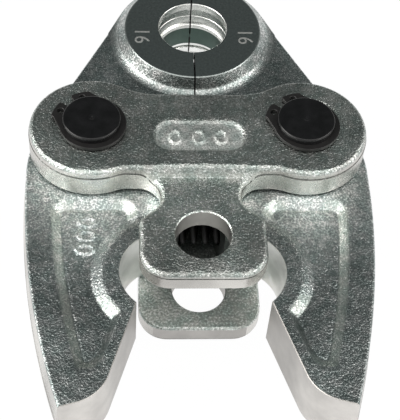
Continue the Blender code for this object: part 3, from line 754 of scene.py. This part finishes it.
def lever_outline(swell, machined=0.0):
    """Right lever seen from above. Its forged sides stand out by the swell, its machined ones draw in."""
    normal, distance = flank()
    nose_y = MOUTH_AHEAD + NOSE_RADIUS
    side_x = PIN_HALF_SPACING + SIDE_FROM_PIN
    tip_x = PIN_HALF_SPACING + TIP_FROM_PIN
    end_slope, cam_slope = math.tan(CAM_END_ANGLE), math.tan(CAM_ANGLE)
    end_below_tip = TIP_BEHIND - CUSP_BEHIND - end_slope * (tip_x - CUSP_FROM_CENTRE)
    cam_end = -CUSP_BEHIND - end_below_tip / (1 - end_slope * cam_slope)
    lead_in = CAM_LEAD_IN - CUSP_BEHIND
    return rounded(pushed_out([
        ((distance - normal.y * nose_y) / normal.x, nose_y, NOSE_RADIUS, swell),
        (-PAST_MIDDLE, nose_y, 0, 0),
        (-PAST_MIDDLE, relief_y(-PAST_MIDDLE), 0, -machined),
        (RELIEF_FOOT_X, relief_y(RELIEF_FOOT_X), 0, 0),
        (cam_x(lead_in), lead_in, 0, -machined),
        (cam_x(cam_end), cam_end, CAM_END_ROUND, -machined),
        (tip_x, -TIP_BEHIND, 0, swell),
        (side_x, -SIDE_KNEE_BEHIND, side_curve()[1], swell),
        (side_x, (distance - normal.x * side_x) / normal.y, SHOULDER_ROUND, swell),
    ]), 26)


def soft_least(values):
    """The least of the values, with the corners between them rounded off."""
    least = min(values)
    return least - RAMP_BLEND * math.log(sum(math.exp((least - value) / RAMP_BLEND) for value in values))


def ramp_share(x, y):
    """Place on the panel's ramp at a point of the right lever's face: 0 at its upper edge, 1 at its foot."""
    point = Vector((x, y))
    centre, radius = side_curve()
    edges = []
    for corner_x, corner_y, inward in PANEL_CORNERS:
        inward = math.radians(inward)
        edges.append(((x - corner_x) * math.cos(inward) + (y - corner_y) * math.sin(inward), CORNER_RAMP))
    edges += [
        (radius - (point - centre).length - PANEL_FROM_SIDE, SIDE_RAMP),
        ((x - cam_x(y)) * math.cos(CAM_ANGLE) - PANEL_FROM_CAM, CAM_RAMP),
        ((point - RECESS).length - BAND_RADIUS, BAND_RAMP),
        (PANEL_TOP - y, TOP_RAMP),
        (y - PANEL_END, END_RAMP),
        (x - PANEL_INNER_X, INNER_RAMP),
    ]
    return soft_least([0.5 + distance / run for distance, run in edges])


def panel_sink(x, y):
    """How deep the arm's sunk panel lies at a point: a flat ramp, a rounded brow and a scored foot."""
    share = max(-2, min(3, ramp_share(x, y)))
    risen = PANEL_BROW * math.log(1 + math.exp(share / PANEL_BROW))
    short = PANEL_FOOT * math.log(1 + math.exp((1 - risen) / PANEL_FOOT))
    scored = SCORE_DEPTH * math.exp(-((share - SCORE_SHARE) / SCORE_WIDTH) ** 2)
    return scored + PANEL_DEPTH * max(0, 1 - short)


def lever_blank():
    """The forging: widest at the parting line on its middle plane, with rounded edges."""
    levels = [(lever_outline(FULL_SWELL), 0), (lever_outline(FULL_SWELL), FLASH_HALF),
              (lever_outline(FULL_SWELL - FLASH_PROUD), FLASH_HALF + 0.2),
              (lever_outline(FORGED_EDGE), LEVER_HALF - FORGED_EDGE)]
    for angle in quarter[1:]:
        z = LEVER_HALF - FORGED_EDGE * (1 - math.sin(angle))
        machined = max(0, z - LEVER_HALF + MACHINED_EDGE)
        levels.append((lever_outline(FORGED_EDGE * math.cos(angle), machined), z))
    bm, top = lofted(levels)
    cells = gridded(bm, top, spaced(*ARM_CUTS_X), spaced(*ARM_CUTS_Y))
    on_ramp = [cell for cell in cells if -0.2 < ramp_share(*cell.calc_center_median().xy) < 1.4]
    ramp_edges = list({edge for cell in on_ramp for edge in cell.edges})
    bmesh.ops.subdivide_edges(bm, edges=ramp_edges, cuts=1, use_grid_fill=True)
    floor_face = min(bm.faces, key=lambda face: face.calc_center_median().z)
    bmesh.ops.delete(bm, geom=[floor_face], context="FACES_ONLY")
    copy = bmesh.ops.duplicate(bm, geom=bm.verts[:] + bm.edges[:] + bm.faces[:])["geom"]
    bmesh.ops.scale(bm, verts=[v for v in copy if isinstance(v, bmesh.types.BMVert)], vec=(1, 1, -1))
    bmesh.ops.reverse_faces(bm, faces=[f for f in copy if isinstance(f, bmesh.types.BMFace)])
    bmesh.ops.remove_doubles(bm, verts=bm.verts, dist=1e-3)
    bmesh.ops.recalc_face_normals(bm, faces=bm.faces)
    return bm


def mouth_boss():
    """Round boss round the mouth on both faces, with a fillet at its foot, trimmed to the lever's sides."""
    upper = [(18, 0), (24.0, 8.44), (23.3, 8.54), (22.6, 8.76), (21.9, 9.1), (21.3, 9.55), (20.85, 10.1),
             (19.42, 11.98), (19.24, 12.2), (18.98, 12.34), (18.65, BOSS_HALF), (0, BOSS_HALF)]
    profile = [(radius, -z) for radius, z in reversed(upper[1:])] + upper
    boss = shifted(turned(profile, 160), y=MOUTH_AHEAD)
    outline = lever_outline(FORGED_EDGE - 0.05)
    trim, _ = lofted([(outline, -BOSS_HALF - 1), (outline, BOSS_HALF + 1)])
    return carved(boss, [(trim, "INTERSECT")])


def mouth_bore():
    """Cutter with the pressing contour: end lands, tapered grooves with a scribed line, a rib, the throat."""
    upper = [(9.44, 3.1), (9.64, 4.0), (10.02, 4.3), (10.22, 4.75), (9.98, 5.15), (9.84, 5.3), (10.12, 7.2),
             (10.22, 7.3), (10.16, 7.42), (10.5, 9.7), (10.42, 9.95), (9.72, 10.1), (BORE_RADIUS, 10.2),
             (BORE_RADIUS, BOSS_HALF - BORE_CHAMFER), (BORE_RADIUS + 2 + BORE_CHAMFER, BOSS_HALF + 2),
             (0, BOSS_HALF + 2)]
    profile = [(radius, -z) for radius, z in reversed(upper)] + upper
    return shifted(turned(profile, 160), y=MOUTH_AHEAD)


def split_block():
    """Everything left of the split. Its faces nearly meet on the middle plane and at the bore's rear lip."""
    upper = ((0.5, SPLIT_CLOSED), (0.8, SPLIT_HALF), (BOSS_HALF - SPLIT_STRIP, SPLIT_HALF), (20, SPLIT_HALF))
    widths = [(-z, width) for z, width in reversed(upper)] + list(upper)
    open_y, closed_y = MOUTH_AHEAD - LIP_OPEN_BEHIND, MOUTH_AHEAD - LIP_CLOSED_BEHIND
    bm, _ = lofted([([(-65, -3), (width, -3), (width, open_y), (SPLIT_CLOSED, closed_y),
                      (SPLIT_CLOSED, MOUTH_AHEAD - 9), (width, MOUTH_AHEAD + 8), (width, 127), (-65, 127)], z)
                    for z, width in widths])
    return bm


def spring_pocket():
    pocket = turned([(0, 0), (SPRING_POCKET_RADIUS, 0), (SPRING_POCKET_RADIUS, SPRING_POCKET_FLOOR - 0.6),
                     (SPRING_POCKET_RADIUS - 0.6, SPRING_POCKET_FLOOR), (0, SPRING_POCKET_FLOOR)], 48)
    return shifted(rotated(pocket, math.pi / 2, "Y"), y=-SPRING_BEHIND_PINS)


def from_mouth(place):
    return math.hypot(place.x, place.y - MOUTH_AHEAD)


def from_recess(place):
    return (place.xy - RECESS).length


def on_band(centre, normal):
    """Whether a face lies on the arm's upper or lower side round the recess, where the band stands."""
    return (centre.x > ARM_CUTS_X[0] and BAND_ZONE_Y[0] < centre.y < BAND_ZONE_Y[1]
            and abs(centre.z) > LEVER_HALF - 0.5 and from_recess(centre) < BAND_RADIUS + 0.5)


def on_panel_ramp(centre):
    return (abs(centre.z) > LEVER_HALF - PANEL_DEPTH - 0.5 and PANEL_END - 4.5 < centre.y < PANEL_TOP + 0.5
            and centre.x > PANEL_ZONE_X and 0.03 < ramp_share(centre.x, centre.y) < 1.1)


def on_drawn_ramp(centre, normal):
    """Whether a face lies on the pale part of the panel's ramp: along the outer side, or low on the band."""
    if any(math.hypot(centre.x - x, centre.y - y) < CORNER_ZONE for x, y, inward in PANEL_CORNERS[:2]):
        return on_panel_ramp(centre)
    by_band = from_recess(centre) < BAND_RADIUS + 2
    low_on_band = LOW_BAND_Y[0] < centre.y < LOW_BAND_Y[1]
    return on_panel_ramp(centre) and (low_on_band if by_band else centre.y < SIDE_ZONE_TOP)


def on_shaded_ramp(centre, normal):
    """Whether a face lies on the panel's ramp beside the cam."""
    beside_cam = centre.x - cam_x(centre.y) < PANEL_FROM_CAM + 2.4
    return on_panel_ramp(centre) and beside_cam and PANEL_END + 3 < centre.y < LOW_BAND_Y[0]


def on_machined(centre, normal):
    """Whether a face of the right lever lies in the eye, in the recess, on the cam or on the split."""
    if abs(normal.z) > 0.8:
        return False
    in_eye = math.hypot(centre.x - PIN_HALF_SPACING, centre.y) < PIN_HOLE_RADIUS + 0.5
    in_recess = from_recess(centre) < RECESS_RADIUS + 0.3
    on_cam = centre.y < RECESS.y and centre.x < cam_x(centre.y) + 2
    on_end = centre.y < -70 and normal.y < -0.5
    return in_eye or in_recess or on_cam or on_end or centre.x < SPLIT_HALF + 0.02


def on_mouth_face(centre, normal):
    return abs(centre.z) > BOSS_HALF - 0.3 and abs(normal.z) > 0.4


def on_bore(centre, normal):
    return abs(normal.z) < 0.95 and from_mouth(centre) < BORE_RADIUS + 1


def on_recess_wall(centre, normal):
    return abs(normal.z) < 0.8 and RECESS_RADIUS - 0.5 < from_recess(centre) < RECESS_RADIUS + 0.1


def on_boss_flank(centre, normal):
    return (abs(centre.z) > LEVER_HALF + 0.1 and 0.2 < abs(normal.z) < 0.9
            and BOSS_FACE_RADIUS < from_mouth(centre) < FLANK_FOOT_RADIUS)


def on_split_edge(centre, normal):
    """Whether a face lies on the split's outer strips, or where it closes at the bore's rear lip."""
    closing = LIP_CLOSED_BEHIND < MOUTH_AHEAD - centre.y < LIP_OPEN_BEHIND
    return centre.x < SPLIT_HALF + 0.05 and (closing or abs(centre.z) > BOSS_HALF - SPLIT_STRIP - 0.05)


def on_boss_fillet(centre, normal):
    return (LEVER_HALF - 0.1 < abs(centre.z) < FILLET_TOP
            and FLANK_FOOT_RADIUS < from_mouth(centre) < FILLET_FOOT_RADIUS)


def on_throat(centre, normal):
    return abs(centre.z) < THROAT_HALF and from_mouth(centre) < BORE_RADIUS + 0.05


def round_the_spring(centre, normal):
    """Whether a face lies in the spring's pocket or on the inner faces that lean away behind the split."""
    return abs(normal.z) < 0.95 and centre.x < SPRING_POCKET_FLOOR + 0.2 and -31 < centre.y < -1.5


def jaw_lever(marks):
    """The right lever in millimetres. Marks are raised on the panel of its upper face."""
    recess = shifted(hole_cutter(RECESS_RADIUS, -LEVER_HALF, LEVER_HALF, RECESS_CHAMFER), *RECESS)
    eye = shifted(hole_cutter(PIN_HOLE_RADIUS, -LEVER_HALF, LEVER_HALF, EYE_CHAMFER), x=PIN_HALF_SPACING)
    bm = carved(lever_blank(), [
        (mouth_boss(), "UNION"), (split_block(), "DIFFERENCE"), (recess, "DIFFERENCE"),
        (mouth_bore(), "DIFFERENCE"), (eye, "DIFFERENCE"), (spring_pocket(), "DIFFERENCE"),
    ])
    for vertex in bm.verts:
        x, y, z = vertex.co
        above = (abs(z) - LEVER_HALF + FORGED_EDGE) / FORGED_EDGE
        if above < 0 or not PANEL_ZONE_Y[0] < y < PANEL_ZONE_Y[1] or x < PANEL_ZONE_X:
            continue
        sink = panel_sink(x, y) * min(above, 1)
        if z > 0 and marks:
            sink -= ARM_MARK_HEIGHT * max(ring_mark(x - mx, y - my, *ARM_MARK_HALVES) for mx, my in marks)
        vertex.co.z -= math.copysign(sink, z)
    bm.normal_update()
    for finish, belongs in lever_zones:
        surfaced(bm, lever_finishes, finish, belongs)
    return bm


def turned_face_zinc(name, tone, roughness):
    """Zinc plate over a faced surface: dark, smooth, with fine turning lines round the mouth's axis."""
    material, tree, shader = new_finish(name, 1.0)
    place = node(tree, "TexCoord").outputs["Object"]
    axis = (0, PIN_LINE_Y + MOUTH_AHEAD * MM, 0)
    centred = node(tree, "VectorMath", {0: place, 1: axis}, operation="SUBTRACT")
    level = node(tree, "VectorMath", {0: centred, 1: (1, 1, 0)}, operation="MULTIPLY")
    reach = node(tree, "VectorMath", {0: level}, operation="LENGTH").outputs["Value"]
    lines = node(tree, "TexNoise", noise_dimensions="1D")
    feed(tree, lines, {"W": reach, "Scale": 7000, "Detail": 2})
    pores = noise(tree, place, 1500, 3)
    pitted = bump(tree, pores, 0.3, 0.00003)
    feed(tree, pitted, {"Normal": bump(tree, lines, 0.3, 0.00001)})
    feed(tree, shader, {
        "Base Color": colour_ramp(tree, pores, ((0.3, toned(tone, 0.85)), (0.75, toned(tone, 1.2)))),
        "Roughness": roughness,
        "Normal": pitted,
    })
    return material


# band_zinc is the same finish as lever_zinc, kept free of the painted light that lever_zinc gets by the
# crossbar.
lever_zinc, band_zinc = [forged_zinc(name, (0.54, 0.575, 0.57), 0.85, 2200, 0.0002, 0.2)
                         for name in ("blasted_lever_zinc", "blasted_band_zinc")]
drawn_zinc = forged_zinc("drawn_ramp_zinc", (0.5, 0.535, 0.51), 0.6, 2200, 0.00009, 0.25)
fillet_zinc = forged_zinc("drawn_fillet_zinc", (0.56, 0.59, 0.58), 0.6, 2200, 0.00009, 0.24)
# Painted shade: the boss flank's zinc is a darker copy of the lever's.
flank_zinc = forged_zinc("drawn_flank_zinc", (0.4, 0.425, 0.415), 0.8, 2000, 0.00009, 0.22)
# Painted shade: a darker copy of the lever's zinc for the panel's ramp beside the cam.
shaded_ramp = forged_zinc("shaded_ramp_zinc", (0.42, 0.455, 0.445), 0.75, 2200, 0.0001, 0.24)
# Painted shade: near-black walls in the split and round the spring's pocket, where the jaw lies deep in
# shade.
shade_black_wall = machined_zinc("painted_shade_black_wall", (0.08, 0.09, 0.085), 0.42)
turned_face = turned_face_zinc("turned_zinc_face", (0.42, 0.46, 0.45), 0.25)
# Painted shade: the bore's throat is coloured near black, standing in for the shaded table that it mirrors.
throat_shade_wall = machined_zinc("throat_shade_wall", (0.08, 0.115, 0.10), 0.32)
bore_wall = machined_zinc("turned_bore", (0.95, 0.96, 0.94), 0.25)
recess_wall = machined_zinc("turned_recess", (0.95, 0.955, 0.93), 0.46)
# Painted light: the lever's zinc is lighter, and rougher, by the crossbar.
painted_light_along(lever_zinc, "Y", ((-41, 0), (-31, 0.35), (-22, 1), (-8, 1), (4, 0)), 1.24, 0.16)
# Painted light: the drawn ramp is lighter towards the arm's upper end, by the crossbar.
painted_light_along(drawn_zinc, "Y", ((-68, 0), (-52, 0.1), (-37, 0.5), (-26, 1), (-16, 1)), 1.5)
# Painted shade: the flank is darker across its middle and lightest at its right end.
painted_light_along(flank_zinc, "X", ((-17, 0.2), (-7, 1), (7, 1), (13, 0)), 0.5)
# Painted light: the machined walls are lighter at the arms' tips.
painted_light_along(machined_wall, "Y", ((-86, 1), (-74, 1), (-60, 0), (-40, 0)), 1.5)
lever_finishes = (lever_zinc, machined_wall, turned_face, throat_shade_wall, bore_wall, drawn_zinc, flank_zinc,
                  shade_black_wall, shaded_ramp, band_zinc, fillet_zinc, recess_wall)
lever_zones = (
    (band_zinc, on_band), (drawn_zinc, on_drawn_ramp), (shaded_ramp, on_shaded_ramp),
    (machined_wall, on_machined), (turned_face, on_mouth_face), (bore_wall, on_bore),
    (recess_wall, on_recess_wall), (flank_zinc, on_boss_flank), (shade_black_wall, on_split_edge),
    (fillet_zinc, on_boss_fillet), (throat_shade_wall, on_throat), (shade_black_wall, round_the_spring),
)
right_lever = jaw_lever(())
left_lever = reflected(jaw_lever(ARM_MARKS), "x")
to_object("forged_right_lever", in_place(right_lever), "right_lever", lever_finishes, "right_jaw_lever")
to_object("forged_left_lever", in_place(left_lever), "left_lever", lever_finishes, "left_jaw_lever")


def size_number(across):
    """The mouth's size, scribed on the turned face of one lever, read with the jaw's right side up."""
    text = bpy.data.curves.new("size_number", "FONT")
    text.body = SIZE_NUMBER
    text.align_x, text.align_y = "CENTER", "CENTER"
    text.size = NUMBER_HEIGHT * EM_PER_HEIGHT
    text.offset = -0.03
    text.extrude = 0.015
    holder = add_object("size_number", text)
    bm = bmesh.new()
    bm.from_mesh(holder.evaluated_get(bpy.context.evaluated_depsgraph_get()).to_mesh())
    bpy.data.objects.remove(holder)
    rotated(bm, -math.pi / 2, "Z")
    return shifted(bm, across * NUMBER_FROM_AXIS, MOUTH_AHEAD - NUMBER_BEHIND_AXIS, BOSS_HALF)


scribed = turned_face_zinc("scribed_zinc", (0.8, 0.8, 0.78), 0.5)
to_object("right_size_number", in_place(size_number(1)), "right_lever", (scribed,))
to_object("left_size_number", in_place(size_number(-1)), "left_lever", (scribed,))

# Pivot pins
# Two headless pins of hardened steel, turned, with a groove near each end. Blackened. They are fixed in the
# side plates and the levers turn on them.
PIN_RADIUS = 7.5
PIN_HALF = 20.9
PIN_EDGE = 0.5
GROOVE_RADIUS = 7.15
GROOVE_CLEARANCE = 0.1
RING_BASE = 18.1
RING_THICKNESS = 1.0


def black_finish(name, tone, roughness, grain, depth):
    """Black oxide on steel: nearly black, satin, with a faint grain and lighter rubbed spots."""
    material, tree, shader = new_finish(name, 0.0)
    place = node(tree, "TexCoord").outputs["Object"]
    pores = noise(tree, place, grain, 3)
    rubbed = noise(tree, place, grain / 9, 5)
    feed(tree, shader, {
        "Base Color": colour_ramp(tree, rubbed, ((0.35, toned(tone, 0.7)), (0.75, toned(tone, 1.6)))),
        "Roughness": ranged(tree, rubbed, 0, 1, roughness + 0.12, roughness - 0.12),
        "Normal": bump(tree, pores, 0.5, depth),
    })
    return material


def pivot_pin():
    """Pin about its own axis, with round edges and a shallow centre mark in each end."""
    low, high = RING_BASE - GROOVE_CLEARANCE, RING_BASE + RING_THICKNESS + GROOVE_CLEARANCE
    upper = [(PIN_RADIUS, low), (GROOVE_RADIUS, low), (GROOVE_RADIUS, high), (PIN_RADIUS, high)]
    for k in range(6):
        angle = math.pi / 2 * k / 5
        upper.append((PIN_RADIUS - PIN_EDGE * (1 - math.cos(angle)),
                      PIN_HALF - PIN_EDGE * (1 - math.sin(angle))))
    upper += [(PIN_RADIUS - PIN_EDGE - 0.1, PIN_HALF), (1.0, PIN_HALF), (0.9, PIN_HALF),
              (0.25, PIN_HALF - 0.35), (0, PIN_HALF - 0.4)]
    return turned([(radius, -z) for radius, z in reversed(upper)] + upper)


def pin_x(side):
    return math.copysign(PIN_HALF_SPACING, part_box(f"{side}_pivot_pin")[0].x)


pin_black = black_finish("black_oxide_pin", (0.0065, 0.0065, 0.007), 0.2, 3000, 0.00002)
for side in ("left", "right"):
    pin = in_place(shifted(pivot_pin(), x=pin_x(side)))
    to_object(f"turned_{side}_pin", pin, "side_plates", (pin_black,), f"{side}_pivot_pin")

# Retaining rings
# External snap rings of blackened spring steel, stamped flat, one in each pin groove. Two lugs with plier
# holes stand beside each ring's gap, and the ring is widest opposite the gap.
RING_OUTER_RADIUS = 8.7
RING_OFFSET = 0.4
RING_GAP_DIRECTION = 131.0
RING_EDGE = 0.1
GAP_HALF_ANGLE = 8.5
LUG_END_ANGLE = 39.0
LUG_RADIUS = 10.7
LUG_CORNER = 0.6
LUG_CORNER_CUT = 0.18
LUG_BLEND_END_ANGLE = 64.0
LUG_HOLE_RADIUS = 0.85
LUG_HOLE_FROM_TIP = 1.75
LUG_HOLE_CHAMFER = 0.12


def polar(radius, degrees):
    return arc(0, 0, radius, degrees, degrees, 1)[0]


def ring_outline(inset):
    """Ring seen from above, with its gap towards +X. All edges draw in by the inset."""
    inner = GROOVE_RADIUS + GROOVE_CLEARANCE + inset
    gap = GAP_HALF_ANGLE + math.degrees(inset / 9)
    lug_end = LUG_END_ANGLE - math.degrees(inset / 9)
    corner = math.degrees(LUG_CORNER / LUG_RADIUS)
    lug_side, lug_top = LUG_RADIUS - LUG_CORNER, LUG_RADIUS - LUG_CORNER_CUT - inset
    half = [polar(inner, gap), polar(lug_side, gap), polar(lug_top, gap + corner * 0.3)]
    half += arc(0, 0, LUG_RADIUS - inset, gap + corner, lug_end - corner, 8)
    half += [polar(lug_top, lug_end - corner * 0.3), polar(lug_side, lug_end)]
    for k in range(31):
        angle = math.radians(LUG_BLEND_END_ANGLE + (180 - LUG_BLEND_END_ANGLE) * k / 30)
        across = math.sqrt(RING_OUTER_RADIUS ** 2 - (RING_OFFSET * math.sin(angle)) ** 2)
        reach = across - RING_OFFSET * math.cos(angle) - inset
        half.append(Vector((reach * math.cos(angle), reach * math.sin(angle))))
    bore = arc(0, 0, inner, 360 - gap, gap, 72)[1:-1]
    return half + [Vector((point.x, -point.y)) for point in reversed(half[:-1])] + bore


def retaining_ring():
    """Ring about the pin's axis, on the upper side, with softened edges and both plier holes."""
    top = RING_BASE + RING_THICKNESS
    bm, _ = lofted([(ring_outline(RING_EDGE), RING_BASE), (ring_outline(0), RING_BASE + RING_EDGE),
                    (ring_outline(0), top - RING_EDGE), (ring_outline(RING_EDGE), top)])
    holes = []
    for side in (1, -1):
        middle = math.radians(side * (GAP_HALF_ANGLE + LUG_END_ANGLE) / 2)
        reach = LUG_RADIUS - LUG_HOLE_FROM_TIP
        hole = hole_cutter(LUG_HOLE_RADIUS, RING_BASE, top, LUG_HOLE_CHAMFER)
        holes.append((shifted(hole, reach * math.cos(middle), reach * math.sin(middle)), "DIFFERENCE"))
    return rotated(carved(bm, holes), math.radians(RING_GAP_DIRECTION), "Z")


ring_black = black_finish("phosphated_ring_steel", (0.011, 0.0105, 0.0105), 0.42, 2400, 0.00003)
for side in ("left", "right"):
    for level in ("upper", "lower"):
        ring = shifted(retaining_ring(), x=pin_x(side))
        if level == "lower":
            ring = reflected(ring, "z")
        to_object(f"stamped_{side}_{level}_ring", in_place(ring), "side_plates", (ring_black,),
                  f"{side}_{level}_retaining_ring")

# Closing spring
# One coil spring of round wire in the levers' pockets, with a closed turn at each end. It holds the mouth
# shut. It is drawn in two halves, one in each lever's pocket.
SPRING_MEAN_RADIUS = 4.1
WIRE_RADIUS = 0.8
SPRING_HALF_LENGTH = SPRING_POCKET_FLOOR - 0.3 - WIRE_RADIUS
END_TURN = 1.8
ACTIVE_TURNS = 3
STEPS_PER_TURN = 40


def spring_half():
    """Right half of the spring along X: three open turns from the middle, then the closed one."""
    bm = bmesh.new()
    bmesh.ops.create_circle(bm, segments=16, radius=WIRE_RADIUS)
    rotated(shifted(bm, x=SPRING_MEAN_RADIUS), math.pi / 2, "Z")
    section = bm.verts[:] + bm.edges[:]
    pitch = (SPRING_HALF_LENGTH - END_TURN) / ACTIVE_TURNS
    for turns, rise in ((ACTIVE_TURNS, pitch), (1, END_TURN)):
        steps = turns * STEPS_PER_TURN
        section = bmesh.ops.spin(bm, geom=section, axis=(1, 0, 0), cent=(0, 0, 0), steps=steps,
                                 angle=turns * 2 * math.pi, dvec=(rise / STEPS_PER_TURN, 0, 0))["geom_last"]
    bmesh.ops.holes_fill(bm, edges=[edge for edge in bm.edges if edge.is_boundary], sides=0)
    bmesh.ops.recalc_face_normals(bm, faces=bm.faces)
    return bm


oiled_wire = black_finish("oiled_spring_wire", (0.006, 0.006, 0.0058), 0.5, 2600, 0.00002)
oiled_wire.node_tree.nodes["Principled BSDF"].inputs["Specular IOR Level"].default_value = 0.2
for side, turn in (("right", 0), ("left", math.pi)):
    half = in_place(shifted(rotated(spring_half(), turn, "Y"), y=-SPRING_BEHIND_PINS))
    mesh = bpy.data.meshes.new(f"{side}_spring_half")
    half.to_mesh(mesh)
    half.free()
    mesh.materials.append(oiled_wire)
    mesh.shade_smooth()
    spring = add_object(f"{side}_spring_half", mesh)
    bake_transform(spring)
    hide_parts("closing_spring")
